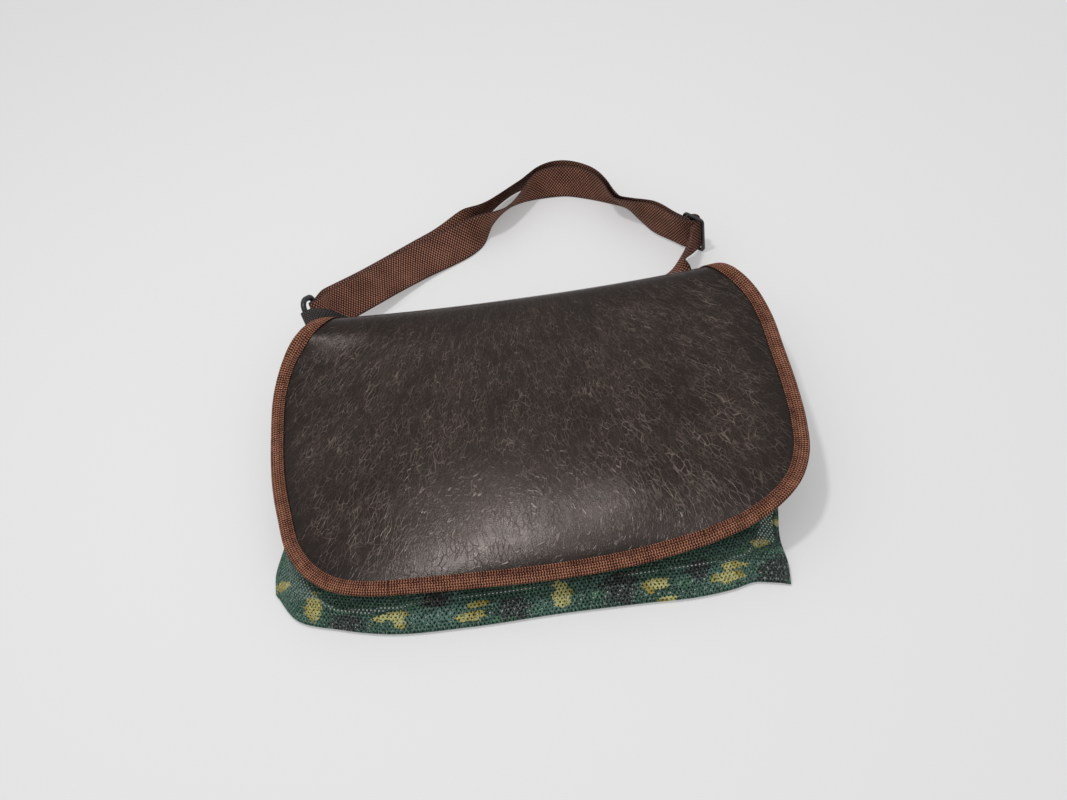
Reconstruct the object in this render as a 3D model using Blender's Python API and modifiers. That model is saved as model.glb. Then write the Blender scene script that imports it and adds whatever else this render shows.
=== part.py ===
"""Hunting game bag, lying on its back and lightly stuffed.

One sheet of brown leatherette makes the back wall, the crest and the front flap.
A woven tape binds its edge, a camouflage net pouch is sewn inside it, and one run
of webbing with a slider hangs between two D-rings. Metres, +Z up, +Y to the crest.
"""
import math

import bmesh
import bpy
import numpy as np
from mathutils import Matrix

# Driving dimensions
LEATHER_THICK = 0.0016
TAPE_THICK = 0.0008
TAPE_LEG = 0.011
SEWN_GAP = 0.0004
WEBBING_WIDE = 0.030
WEBBING_THICK = 0.0014
TAB_WIDE = 0.021
TAB_THICK = 0.0012
NET_THICK = 0.0012
RING_BAR = 0.0045
RING_SPACING = 0.016
RING_LONG = 0.0425
RING_STRAP_CORNER = 0.0035
RING_TAB_CORNER = 0.0080
SLIDER_SPACING = 0.0090
SLIDER_BAR = 0.0030
SLIDER_DEEP = 0.0026
SLIDER_TALL = 0.035
SLIDER_RAIL = 0.0020
SLIDER_CORNER = 0.004
TAIL_LOOP = 0.0031

# Shape of the leatherette sheet
CREST_RADIUS = 0.0262
CREST_Y = 0.0745
CREST_DROP = 0.0006
SHEAR = -0.045
CREST_SHEAR = -0.012
CREST_SHEAR_REACH = 0.10
EDGE_REACH = 0.19
DOME_POWER = 2.2
BACK_LIFT = 0.0016
BACK_FLAT_REACH = 0.014
BACK_LIFT_START = -0.020
BACK_LIFT_REACH = 0.014

# Steps of the meshes
SIDE_STEPS = 44
ACROSS_STEPS = 18
NET_ROWS = 20
NET_ACROSS = 22
CORNER_STEPS = 5
BAR_SIDES = 8
CURVE_FINENESS = 40
WELD_DISTANCE = 1e-6
WRAP_STEPS = 9

COLLECTION = "game_bag"

# Profile of the sheet's middle surface, from the flap's lower edge over the crest to the
# back wall's lower edge. y, z at the middle, rise of z at the left and the right edge
PROFILE = [
    (-0.1800, 0.0140, 0.0050, 0.0170),
    (-0.1617, 0.0235, 0.0010, 0.0150),
    (-0.1500, 0.0290, -0.0040, 0.0130),
    (-0.1350, 0.0340, -0.0090, 0.0090),
    (-0.1100, 0.0405, -0.0150, 0.0030),
    (-0.0600, 0.0490, -0.0210, -0.0040),
    (0.0000, 0.0545, -0.0230, -0.0065),
    (0.0350, 0.0553, -0.0160, -0.0030),
    (0.0580, 0.0548, -0.0070, 0.0020),
]
CREST_RISE = [
    # turn of the crest in degrees from its top, rise left, rise right
    (0.0, 0.0045, 0.0080),
    (30.0, 0.0090, 0.0105),
    (60.0, 0.0105, 0.0110),
    (90.0, 0.0070, 0.0080),
    (120.0, 0.0030, 0.0035),
    (150.0, 0.0005, 0.0005),
    (180.0, 0.0, 0.0),
]
CREST_TURN_STEP = 15.0
BACK_ROWS = (0.0690, 0.0600, 0.0500, 0.0300, 0.0, -0.0500, -0.1000, -0.1400, -0.1650)
BACK_CORNER_RUN = -0.238
SEAM_GAP = 0.0008
CORNER_GAP = 0.0030
SEAM_STRAIGHT = 0.130
SEAM_POWER = 6

# Cutting pattern of the sheet: across, along. Along is 0 on the crest's rearmost line,
# positive over the flap and negative over the back wall
FLAP_EDGE = [
    (-0.120, 0.2745), (-0.070, 0.2775), (-0.004, 0.2795), (0.053, 0.2775), (0.100, 0.2720),
]
BACK_EDGE = [
    (-0.140, -0.2631), (-0.060, -0.2640), (0.000, -0.2640), (0.060, -0.2640), (0.112, -0.2630),
]
LEFT_EDGE = [
    (-0.120, 0.2745), (-0.140, 0.2715), (-0.160, 0.2640), (-0.1755, 0.2510), (-0.189, 0.2280),
    (-0.1965, 0.1915), (-0.2005, 0.1540), (-0.2000, 0.1160), (-0.1950, 0.0800), (-0.1850, 0.0560),
    (-0.1700, 0.0380), (-0.1540, 0.0200), (-0.1450, 0.0), (-0.1520, -0.0220), (-0.1680, -0.0440),
    (-0.1800, -0.0660), (-0.1870, -0.1000), (-0.1890, -0.1500), (-0.1870, -0.2050),
    (-0.1780, -0.2420), (-0.1620, -0.2580), (-0.140, -0.2631),
]
RIGHT_EDGE = [
    (0.100, 0.2720), (0.130, 0.2640), (0.152, 0.2530), (0.170, 0.2370), (0.182, 0.2140),
    (0.1870, 0.1880), (0.1890, 0.1540), (0.1885, 0.1160), (0.1870, 0.0820), (0.1810, 0.0560),
    (0.1710, 0.0380), (0.1600, 0.0200), (0.1530, 0.0), (0.1570, -0.0220), (0.1660, -0.0440),
    (0.1680, -0.0660), (0.1610, -0.1000), (0.1510, -0.1500), (0.1470, -0.2050),
    (0.1410, -0.2400), (0.1290, -0.2575), (0.112, -0.2630),
]

# Outline of the net pouch seen from above: x, y before the shear
NET_BOTTOM = [
    (-0.2037, -0.1245), (-0.1888, -0.1490), (-0.1594, -0.1612), (-0.1284, -0.1698),
    (-0.0695, -0.1735), (-0.0073, -0.1726), (0.0500, -0.1735), (0.0880, -0.1745),
    (0.1127, -0.1720), (0.1275, -0.1688), (0.1380, -0.1708), (0.1505, -0.1740),
]
NET_MOUTH = [(-0.1500, 0.0600), (-0.0700, 0.0640), (0.0000, 0.0650), (0.0700, 0.0640), (0.1480, 0.0600)]
NET_LEFT = [
    (-0.2037, -0.1245), (-0.2030, -0.1120), (-0.1960, -0.0850), (-0.1870, -0.0400),
    (-0.1800, 0.0), (-0.1680, 0.0360), (-0.1500, 0.0600),
]
NET_RIGHT = [
    (0.1505, -0.1740), (0.1520, -0.1600), (0.1515, -0.1400), (0.1570, -0.1100),
    (0.1640, -0.0600), (0.1660, 0.0), (0.1610, 0.0360), (0.1480, 0.0600),
]
# Height of the net's middle over the table by distance from its bottom fold
NET_CROWN = [
    (0.0000, 0.0026), (0.0060, 0.0062), (0.0150, 0.0105), (0.0300, 0.0175), (0.0550, 0.0280),
    (0.0800, 0.0360), (0.1150, 0.0425), (0.1700, 0.0480), (0.2100, 0.0490), (0.2400, 0.0470),
]
NET_POWER = 3.6
NET_RIM = 0.0054
NET_RIM_LOW = 0.0026
NET_RIM_BLEND = 0.014
# The cloth that turns under the pouch: share of its way to the back wall, height
NET_RETURN = [(0.0, 0.0009), (0.35, 0.0008), (0.70, 0.0008), (1.00, 0.0008)]
NET_NOSE = 0.0008
NET_RETURN_LEAST = 0.004
# Soft ripples of the net: x, half width, height
NET_FOLDS = [
    (-0.172, 0.012, 0.0020), (-0.120, 0.014, -0.0016), (-0.085, 0.012, 0.0014), (-0.030, 0.016, -0.0012),
    (0.030, 0.014, 0.0014), (0.078, 0.012, -0.0016), (0.112, 0.010, 0.0018), (0.134, 0.008, -0.0016),
]
NET_FOLD_START = 0.012
NET_FOLD_REACH = 0.055
NET_FOLD_POWER = 8

# Left D-ring, where the strap ends: middle, line of its bars, line from strap bar to tab bar
LEFT_RING_AT = (-0.1617, 0.1209, 0.0352)
LEFT_RING_BARS = (-0.22, 0.60, 0.77)
LEFT_RING_ACROSS = (-0.40, -0.74, 0.46)
# Left tab, from the rear of the crest to the ring: x, y, z and the line of its width
LEFT_TAB = [
    (-0.1220, 0.1120, 0.0240, 0.00, -0.05, 1.00),
    (-0.1340, 0.1142, 0.0265, 0.00, 0.05, 1.00),
    (-0.1462, 0.1164, 0.0345, -0.08, 0.28, 0.95),
]
RIGHT_RING_AT = (0.1290, 0.1060, 0.0125)
RIGHT_RING_BARS = (0.985, -0.07, 0.10)
RIGHT_RING_ACROSS = (0.0, -0.87, 0.49)
RIGHT_TAB = [
    (0.1230, 0.0952, 0.0380, 0.995, -0.06, 0.06),
    (0.1250, 0.0958, 0.0290, 0.990, -0.06, 0.10),
]

TAB_NECK = 0.0065
TAB_ROWS = 12
TAB_NECK_SPREAD = 0.0024

SLIDER_AT = (0.1565, 0.1660, 0.0178)
SLIDER_HEADING = (0.66, -0.75)

# Strap from the left ring to the slider: x, y, z of the front layer, its lean back in
# degrees, distance of the back layer behind it, lean of the back layer; z is the height
# of the lower edge over the table
STRAP_RUN = [
    (-0.1440, 0.1405, 0.0153, 38.0, 0.0050, 38.0),
    (-0.1220, 0.1575, 0.0120, 46.0, 0.0036, 46.0),
    (-0.0960, 0.1790, 0.0060, 50.0, 0.0036, 50.0),
    (-0.0700, 0.1965, 0.0015, 50.0, 0.0048, 48.0),
    (-0.0500, 0.2060, 0.0, 48.0, 0.0075, 46.0),
    (-0.0340, 0.2120, 0.0, 38.0, 0.0115, 34.0),
    (-0.0220, 0.2165, 0.0, 16.0, 0.0145, 12.0),
    (-0.0125, 0.2230, 0.0, -10.0, 0.0155, -8.0),
    (-0.0045, 0.2315, 0.0, -30.0, 0.0140, -20.0),
    (0.0045, 0.2415, 0.0, -38.0, 0.0122, -26.0),
    (0.0145, 0.2508, 0.0, -34.0, 0.0118, -30.0),
    (0.0270, 0.2585, 0.0, -15.0, 0.0126, -30.0),
    (0.0420, 0.2638, 0.0, 6.0, 0.0134, -18.0),
    (0.0600, 0.2630, 0.0, 12.0, 0.0088, 6.0),
    (0.0790, 0.2530, 0.0, 8.0, 0.0054, 8.0),
    (0.0930, 0.2385, 0.0, -12.0, 0.0048, -12.0),
    (0.1035, 0.2235, 0.0, -34.0, 0.0048, -34.0),
    (0.1130, 0.2085, 0.0008, -20.0, 0.0044, -20.0),
    (0.1244, 0.1948, 0.0018, 0.0, 0.0042, 0.0),
]
# Strap from the slider down behind the crest to the right ring: x, y, z, lean
STRAP_RETURN = [
    (0.1500, 0.1530, 0.0166, 8.0),
    (0.1428, 0.1432, 0.0162, 20.0),
    (0.1345, 0.1325, 0.0145, 32.0),
]
STRAP_RETURN_ROWS = 9
STRAP_WRAP = (RING_BAR + WEBBING_THICK) / 2 + 2 * SEWN_GAP
STRAP_HEM = 0.010
HEM_STEPS = (0.35, 0.7, 1.0)
HEM_CLOSE = 0.5
STRAP_STEP = 0.007
STRAP_CLEAR = 0.0006
# Strap at the slider: distance along the strap, distance out toward its front. The tail's
# loop is sewn round the middle bar, and the strap passes through both slots over it
TAIL_END = [
    (-0.0170, 0.0042), (-0.0140, 0.0042), (-0.0085, 0.0042), (-0.0062, 0.0036),
    (-0.0043, 0.0022), (-0.0032, 0.0006),
]
TAIL_TURN = (190.0, 430.0, 9)
TAIL_START = [(-0.0020, 0.0043), (-0.0050, 0.0056), (-0.0085, 0.0061), (-0.0140, 0.0061)]
THROUGH_IN = [
    (-0.0140, 0.0023), (-0.0092, 0.0023), (-0.0071, 0.0022), (-0.0060, 0.0010), (-0.0054, -0.0006),
]
THROUGH_TURN = (200.0, 355.0, 7)
THROUGH_OUT = [(0.0051, 0.0020), (0.0051, 0.0050), (0.0049, 0.0100)]


def clear_scene():
    for thing in list(bpy.data.objects):
        bpy.data.objects.remove(thing)


def make_material(name, color, roughness, metallic=0.0):
    material = bpy.data.materials.new(name)
    material.use_nodes = True
    shader = material.node_tree.nodes["Principled BSDF"]
    shader.inputs["Base Color"].default_value = (*color, 1.0)
    shader.inputs["Roughness"].default_value = roughness
    shader.inputs["Metallic"].default_value = metallic
    return material


def add_mesh(name, points, faces, material):
    """A smooth-shaded mesh object, its faces turned outward."""
    mesh = bpy.data.meshes.new(name)
    mesh.from_pydata([tuple(p) for p in points], [], faces)
    work = bmesh.new()
    work.from_mesh(mesh)
    bmesh.ops.remove_doubles(work, verts=work.verts, dist=WELD_DISTANCE)
    bmesh.ops.recalc_face_normals(work, faces=work.faces)
    work.to_mesh(mesh)
    work.free()
    mesh.shade_smooth()
    mesh.materials.append(material)
    thing = bpy.data.objects.new(name, mesh)
    bpy.data.collections[COLLECTION].objects.link(thing)
    return thing


def unit(vector):
    vector = np.asarray(vector, float)
    return vector / np.linalg.norm(vector)


def smooth_table(table, at):
    """Rows of a table at the keys in its first column, joined by a smooth curve."""
    table = np.asarray(table, float)
    at = np.atleast_1d(at)
    keys, values = table[:, 0], table[:, 1:]
    slopes = np.gradient(values, keys, axis=0)
    i = np.clip(np.searchsorted(keys, at, side="right") - 1, 0, len(keys) - 2)
    width = keys[i + 1] - keys[i]
    t = np.clip((at - keys[i]) / width, 0.0, 1.0)[:, None]
    width = width[:, None]
    return ((2 * t**3 - 3 * t**2 + 1) * values[i] + (t**3 - 2 * t**2 + t) * width * slopes[i]
            + (3 * t**2 - 2 * t**3) * values[i + 1] + (t**3 - t**2) * width * slopes[i + 1])


def running_length(points):
    """Length of the way to each point; columns past the third aren't places."""
    steps = np.linalg.norm(np.diff(points[:, :3], axis=0), axis=1)
    return np.concatenate([[0.0], np.cumsum(steps)])


def along(points, count):
    """Evenly spaced points on a smooth curve through the given ones."""
    points = np.asarray(points, float)
    length = running_length(points)
    table = np.column_stack([length, points])
    fine = smooth_table(table, np.linspace(0.0, length[-1], CURVE_FINENESS * count))
    run = running_length(fine)
    at = np.linspace(0.0, run[-1], count)
    return np.column_stack([np.interp(at, run, fine[:, k]) for k in range(points.shape[1])])


def patch(first, last, left, right):
    """Grid of points between four edges: rows go from the first edge to the last one."""
    u = np.linspace(0.0, 1.0, len(first))[None, :, None]
    v = np.linspace(0.0, 1.0, len(left))[:, None, None]
    corners = ((1 - u) * (1 - v) * first[0] + u * (1 - v) * first[-1]
               + (1 - u) * v * last[0] + u * v * last[-1])
    return ((1 - v) * first[None] + v * last[None]
            + (1 - u) * left[:, None] + u * right[:, None] - corners)


def inset(loop, distance):
    """A closed outline moved inward by a distance."""
    ahead = np.roll(loop, -1, axis=0) - np.roll(loop, 1, axis=0)
    ahead /= np.linalg.norm(ahead, axis=1, keepdims=True)
    inward = np.column_stack([-ahead[:, 1], ahead[:, 0]])
    area = np.sum(loop[:, 0] * np.roll(loop[:, 1], -1) - np.roll(loop[:, 0], -1) * loop[:, 1])
    return loop + inward * distance * (1.0 if area > 0 else -1.0)


def profile_table():
    """Profile as rows of along, y, z, rise left, rise right, from back to flap."""
    rows = [list(row) for row in PROFILE]
    centre_z = PROFILE[-1][1] - CREST_DROP - CREST_RADIUS
    turns = np.arange(0.0, 180.1, CREST_TURN_STEP)
    for turn, (left, right) in zip(turns, smooth_table(CREST_RISE, turns)):
        angle = math.radians(turn)
        y = CREST_Y + CREST_RADIUS * math.sin(angle)
        z = centre_z + CREST_RADIUS * math.cos(angle)
        rows.append([y, z, left, right])
    floor_z = LEATHER_THICK / 2
    lowest = rows[-1][1]
    for row in rows[len(PROFILE):]:
        row[1] += (floor_z - lowest) * (centre_z + CREST_RADIUS - row[1]) / (2 * CREST_RADIUS)
    for y in BACK_ROWS:
        rows.append([y, floor_z, 0.0, 0.0])
    rows = np.array(rows)
    run = running_length(rows[:, :2])
    rear = run[len(PROFILE) + int(90 / CREST_TURN_STEP)]
    return np.column_stack([rear - run, rows])[::-1]


SHEET_PROFILE = profile_table()


def sheet_middle(across, run):
    """Place of the sheet's middle surface at a point of its cutting pattern."""
    across, run = np.asarray(across, float), np.asarray(run, float)
    y, z, left, right = smooth_table(SHEET_PROFILE, run.ravel()).T.reshape(4, *run.shape)
    rise = np.where(across < 0, left, right)
    z = z + rise * (np.abs(across) / EDGE_REACH) ** DOME_POWER
    shear = SHEAR + CREST_SHEAR * np.exp(-((run / CREST_SHEAR_REACH) ** 2))
    return np.stack([across, y + shear * across, z], axis=-1)


def on_sheet(across, run, height, lift=0.0):
    """Point at a height over the sheet's middle surface, outward positive."""
    tiny = 0.0005
    across, run = np.asarray(across, float), np.asarray(run, float)
    side = sheet_middle(across + tiny, run) - sheet_middle(across - tiny, run)
    ahead = sheet_middle(across, run + tiny) - sheet_middle(across, run - tiny)
    normal = np.cross(ahead, side)
    normal /= -np.linalg.norm(normal, axis=-1, keepdims=True)
    place = sheet_middle(across, run) + normal * np.asarray(height)[..., None]
    place[..., 2] += lift
    return place


def pattern_loop():
    """Cutting pattern's outline, and how many of its points each side has."""
    flap = along(FLAP_EDGE, ACROSS_STEPS + 1)
    back = along(BACK_EDGE, ACROSS_STEPS + 1)
    left = along(LEFT_EDGE, SIDE_STEPS + 1)
    right = along(RIGHT_EDGE, SIDE_STEPS + 1)
    return np.concatenate([flap[:-1], right[:-1], back[::-1][:-1], left[::-1][:-1]])


def split_loop(loop):
    """The four sides of an outline that pattern_loop made."""
    a, s = ACROSS_STEPS, SIDE_STEPS
    flap = loop[:a + 1]
    right = loop[a:a + s + 1]
    back = loop[a + s:2 * a + s + 1][::-1]
    left = np.concatenate([loop[2 * a + s:], loop[:1]])[::-1]
    return flap, back, left, right


def back_lift(points):
    """The back wall's edge stands a little off the table, on its binding."""
    loop = pattern_loop()
    distance = np.min(np.linalg.norm(points[:, None] - loop[None], axis=2), axis=1)
    near = np.clip((TAPE_LEG + BACK_FLAT_REACH - distance) / BACK_FLAT_REACH, 0.0, 1.0)
    on_back = np.clip((BACK_LIFT_START - points[:, 1]) / BACK_LIFT_REACH, 0.0, 1.0)
    return BACK_LIFT * near * near * (3 - 2 * near) * on_back


def place_sheet(points, height):
    return on_sheet(points[:, 0], points[:, 1], np.full(len(points), height), back_lift(points))


def loft_rings(rings, closed=True):
    """Faces between rings of point numbers, each joined to the next one round."""
    faces = []
    pairs = list(zip(rings, rings[1:])) + ([(rings[-1], rings[0])] if closed else [])
    for one, two in pairs:
        for k in range(len(one)):
            n = (k + 1) % len(one)
            faces.append((one[k], one[n], two[n], two[k]))
    return faces


def strip(inside, outside):
    """Triangles between two closed rows of points, all cut along the same diagonal."""
    faces = []
    for k in range(len(inside)):
        n = (k + 1) % len(inside)
        faces.append((inside[k], outside[k], outside[n]))
        faces.append((inside[k], outside[n], inside[n]))
    return faces


def make_sheet(material):
    """Back wall, crest and flap as one closed wall of leatherette."""
    outline = pattern_loop()
    edge = inset(outline, TAPE_THICK + 2 * SEWN_GAP)
    ring = inset(outline, TAPE_LEG)
    grid = patch(*split_loop(ring))
    rows, columns = grid.shape[:2]
    flat = grid.reshape(-1, 2)
    pattern = np.concatenate([flat, edge])
    half = LEATHER_THICK / 2
    points = np.concatenate([place_sheet(pattern, half), place_sheet(pattern, -half)])
    below = len(pattern)
    number = np.arange(rows * columns).reshape(rows, columns)
    border = np.concatenate([number[0, :-1], number[:-1, -1], number[-1, ::-1][:-1],
                             number[::-1, 0][:-1]])
    rim = np.arange(len(flat), below)
    top = [(number[i, j], number[i, j + 1], number[i + 1, j + 1], number[i + 1, j])
           for i in range(rows - 1) for j in range(columns - 1)]
    top += strip(border, rim)
    under = [tuple(below + p for p in face[::-1]) for face in top]
    wall = [(rim[k], below + rim[k], below + rim[(k + 1) % len(rim)], rim[(k + 1) % len(rim)])
            for k in range(len(rim))]
    faces = [tuple(int(p) for p in face) for face in top + under + wall]
    return add_mesh("flap_and_back", points, faces, material)


def make_binding(material):
    """Tape folded over the sheet's edge, all the way round."""
    outline = pattern_loop()
    inner = LEATHER_THICK / 2 + SEWN_GAP
    outer = inner + TAPE_THICK
    section = [
        (TAPE_LEG, outer), (TAPE_THICK, outer), (0.0, outer / 2), (0.0, -outer / 2),
        (TAPE_THICK, -outer), (TAPE_LEG, -outer), (TAPE_LEG, -inner),
        (TAPE_THICK + SEWN_GAP, -inner), (TAPE_THICK + SEWN_GAP, inner), (TAPE_LEG, inner),
    ]
    loops = [place_sheet(inset(outline, depth), height) for depth, height in section]
    count = len(outline)
    points = np.concatenate(loops)
    rows = [[j * count + k for k in range(count)] for j in range(len(section))]
    faces = []
    for j, (depth, _) in enumerate(section):
        n = (j + 1) % len(section)
        if depth >= section[n][0]:
            faces += strip(rows[j], rows[n])
        else:
            faces += [face[::-1] for face in strip(rows[n], rows[j])]
    return add_mesh("binding", points, faces, material)


def net_height(grid, fold_distance):
    """Height of the pouch's net: a low pillow whose rim lies on the back wall."""
    rows, columns = grid.shape[:2]
    side = np.abs(np.linspace(-1.0, 1.0, columns))[None, :]
    crown = smooth_table(NET_CROWN, fold_distance.ravel()).reshape(rows, columns)
    blend = np.clip(fold_distance / NET_RIM_BLEND, 0.0, 1.0)
    rim = NET_RIM_LOW + (NET_RIM - NET_RIM_LOW) * blend
    height = rim + np.maximum(crown - rim, 0.0) * (1 - side**NET_POWER)
    fade = np.clip(1 - fold_distance / NET_FOLD_REACH, 0.0, 1.0)
    fade *= np.clip(fold_distance / NET_FOLD_START, 0.0, 1.0) * (1 - side**NET_FOLD_POWER)
    for x, half_width, depth in NET_FOLDS:
        height += depth * np.exp(-((grid[..., 0] - x) / half_width) ** 2) * fade
    return height


def make_net(material):
    """Pouch of net: front wall, sides and the bottom fold that turns under."""
    left = along(NET_LEFT, NET_ROWS + 1)
    right = along(NET_RIGHT, NET_ROWS + 1)
    grid = patch(along(NET_BOTTOM, NET_ACROSS + 1), along(NET_MOUTH, NET_ACROSS + 1), left, right)
    distance = grid[..., 1] - grid[:1, :, 1]
    height = net_height(grid, distance)
    front = np.dstack([grid[..., 0], grid[..., 1] + SHEAR * grid[..., 0], height])
    loop = pattern_loop()
    edge = loop[loop[:, 1] < BACK_CORNER_RUN]
    edge = edge[np.argsort(edge[:, 0])]
    edge_y = smooth_table(SHEET_PROFILE, edge[:, 1])[:, 0]
    seam = np.interp(grid[0, :, 0], edge[:, 0], edge_y) - SEAM_GAP
    seam -= CORNER_GAP * np.minimum(np.abs(grid[0, :, 0]) / SEAM_STRAIGHT, 1.0) ** SEAM_POWER
    reach = np.maximum(seam - grid[0, :, 1], NET_RETURN_LEAST)
    turned = []
    for share, level in NET_RETURN:
        row = front[0].copy()
        row[:, 1] += NET_NOSE + share * (reach - NET_NOSE)
        row[:, 2] = level
        turned.append(row)
    sheet = np.concatenate([np.array(turned[::-1]), front])
    rows, columns = sheet.shape[:2]
    faces = [(i * columns + j, i * columns + j + 1, (i + 1) * columns + j + 1, (i + 1) * columns + j)
             for i in range(rows - 1) for j in range(columns - 1)]
    net = add_mesh("net_pouch", sheet.reshape(-1, 3), faces, material)
    wall = net.modifiers.new("wall", "SOLIDIFY")
    wall.thickness = NET_THICK
    wall.offset = 0.0
    return net


def band(name, route, widths, wide, thick, material):
    """Flat webbing swept along a route; widths are the lines across it."""
    route, widths = np.array(route), np.array(widths)
    steps = np.diff(route, axis=0)
    steps /= np.linalg.norm(steps, axis=1, keepdims=True)
    ahead = np.concatenate([steps[:1], steps[:-1] + steps[1:], steps[-1:]])
    ahead /= np.linalg.norm(ahead, axis=1, keepdims=True)
    widths /= np.linalg.norm(widths, axis=1, keepdims=True)
    face = np.cross(ahead, widths)
    face /= np.linalg.norm(face, axis=1, keepdims=True)
    corners = [(1, 1), (-1, 1), (-1, -1), (1, -1)]
    points = [route[k] + widths[k] * w * wide / 2 + face[k] * f * thick / 2
              for k in range(len(route)) for w, f in corners]
    rings = [list(range(4 * k, 4 * k + 4)) for k in range(len(route))]
    faces = loft_rings(rings, closed=False) + [tuple(rings[0][::-1]), tuple(rings[-1])]
    return add_mesh(name, points, faces, material)


def ring_axes(bars, across):
    """Square set of lines for a ring: along its bars, across them, out of its face."""
    bars = unit(bars)
    across = np.asarray(across, float)
    across = unit(across - bars * np.dot(bars, across))
    return bars, across, np.cross(bars, across)


def ring_path():
    """Middle line of a D-ring's bar: across and along, with its direction at each point."""
    long = RING_LONG - RING_BAR
    corners = [
        # side across, side along, radius, angle where the corner's turn starts
        (1, 1, RING_TAB_CORNER, 0.0),
        (-1, 1, RING_STRAP_CORNER, 90.0),
        (-1, -1, RING_STRAP_CORNER, 180.0),
        (1, -1, RING_TAB_CORNER, 270.0),
    ]
    path = []
    for side, end, radius, start in corners:
        middle = (side * (RING_SPACING / 2 - radius), end * (long / 2 - radius))
        for turn in np.radians(np.linspace(start, start + 90.0, CORNER_STEPS)):
            place = (middle[0] + radius * math.cos(turn), middle[1] + radius * math.sin(turn))
            path.append((*place, -math.sin(turn), math.cos(turn)))
    return path


def make_ring(name, at, bars, across, material):
    """Plastic D-ring as a closed round bar: a long side for the strap, a short one for the tab."""
    bars, across, out = ring_axes(bars, across)
    points, rings = [], []
    for k, (x, y, run_x, run_y) in enumerate(ring_path()):
        place = np.array(at) + across * x + bars * y
        side = np.cross(across * run_x + bars * run_y, out)
        rings.append(list(range(k * BAR_SIDES, (k + 1) * BAR_SIDES)))
        for j in range(BAR_SIDES):
            angle = 2 * math.pi * (j + 0.5) / BAR_SIDES
            points.append(place + (side * math.cos(angle) + out * math.sin(angle)) * RING_BAR / 2)
    return add_mesh(name, points, loft_rings(rings), material)


def wrap(bar, out_line, face_line, radius):
    """Half a turn round a bar, from the face's side to its far side."""
    angles = np.linspace(0.0, math.pi, WRAP_STEPS)
    return [bar + radius * (face_line * math.cos(a) + out_line * math.sin(a)) for a in angles]


def make_tab(name, at, bars, across, rows, material):
    """Webbing tab: two layers from the crest, folded round the ring's nearer bar."""
    bars, across, _ = ring_axes(bars, across)
    bar = np.array(at) + across * RING_SPACING / 2
    rows = np.array(rows)
    pull = unit(bar - rows[-1, :3])
    face = unit(np.cross(pull, bars))
    pull = np.cross(bars, face)
    radius = (RING_BAR + TAB_THICK) / 2 + 2 * SEWN_GAP
    turn = wrap(bar, pull, face, radius)
    gap = TAB_THICK / 2 + SEWN_GAP
    neck = np.concatenate([bar - pull * TAB_NECK, bars])
    rows = along(np.concatenate([rows, [neck]]), TAB_ROWS)
    middle = rows[:, :3]
    lines = [unit(row[3:]) for row in rows]
    ahead = np.gradient(middle, axis=0)
    faces = [unit(np.cross(ahead[k], lines[k])) for k in range(len(middle))]
    spread = np.linspace(gap, TAB_NECK_SPREAD, TAB_ROWS)
    front = [m + f * g for m, f, g in zip(middle, faces, spread)]
    rear = [m - f * g for m, f, g in zip(middle, faces, spread)]
    route = front + turn + rear[::-1]
    widths = lines + [bars] * len(turn) + lines[::-1]
    return band(name, route, widths, TAB_WIDE, TAB_THICK, material)


def slider_axes():
    """Lines along the strap, up, and out toward the strap's front."""
    heading = unit((*SLIDER_HEADING, 0.0))
    up = np.array([0.0, 0.0, 1.0])
    return heading, up, np.cross(heading, up)


def slider_point(along_strap, forward):
    """A point at the slider: distance along the strap, and out toward the strap's front."""
    heading, _, front = slider_axes()
    return np.array(SLIDER_AT) + heading * along_strap + front * forward


def round_bar(radius, first, last, steps):
    """Points round the slider's middle bar, from one angle to another, as slider places."""
    angles = np.radians(np.linspace(first, last, steps))
    return [(radius * math.cos(a), radius * math.sin(a)) for a in angles]


def block(name, size, collection, shift=0.0, rounding=0.0):
    """A box centred on the origin, moved along X, its upright edges rounded."""
    work = bmesh.new()
    bmesh.ops.create_cube(work, size=1.0)
    bmesh.ops.scale(work, vec=size, verts=work.verts)
    bmesh.ops.translate(work, vec=(shift, 0.0, 0.0), verts=work.verts)
    if rounding:
        upright = [e for e in work.edges if abs(e.verts[0].co.z - e.verts[1].co.z) > size[2] / 2]
        bmesh.ops.bevel(work, geom=upright, offset=rounding, segments=3, profile=0.5, affect="EDGES")
    mesh = bpy.data.meshes.new(name)
    work.to_mesh(mesh)
    work.free()
    thing = bpy.data.objects.new(name, mesh)
    bpy.data.collections[collection].objects.link(thing)
    return thing


def make_slider(material):
    """Tri-glide: a plate with two slots, cut from a rounded block."""
    long = 2 * SLIDER_SPACING + SLIDER_BAR
    slider = block("slider", (long, SLIDER_TALL, SLIDER_DEEP), COLLECTION, rounding=SLIDER_CORNER)
    slider.data.materials.append(material)
    slot_size = (SLIDER_SPACING - SLIDER_BAR, SLIDER_TALL - 2 * SLIDER_RAIL, 4 * SLIDER_DEEP)
    for number, side in enumerate((-1, 1)):
        cutter = block(f"slot_{number}", slot_size, "cutters", shift=side * SLIDER_SPACING / 2)
        cutter.parent = slider
        cutter.hide_render = True
        cutter.display_type = "WIRE"
        slot = slider.modifiers.new(f"slot_{number}", "BOOLEAN")
        slot.object = cutter
    heading, up, front = slider_axes()
    slider.matrix_world = Matrix.Translation(SLIDER_AT) @ Matrix((heading, up, front)).transposed().to_4x4()
    return slider


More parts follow.
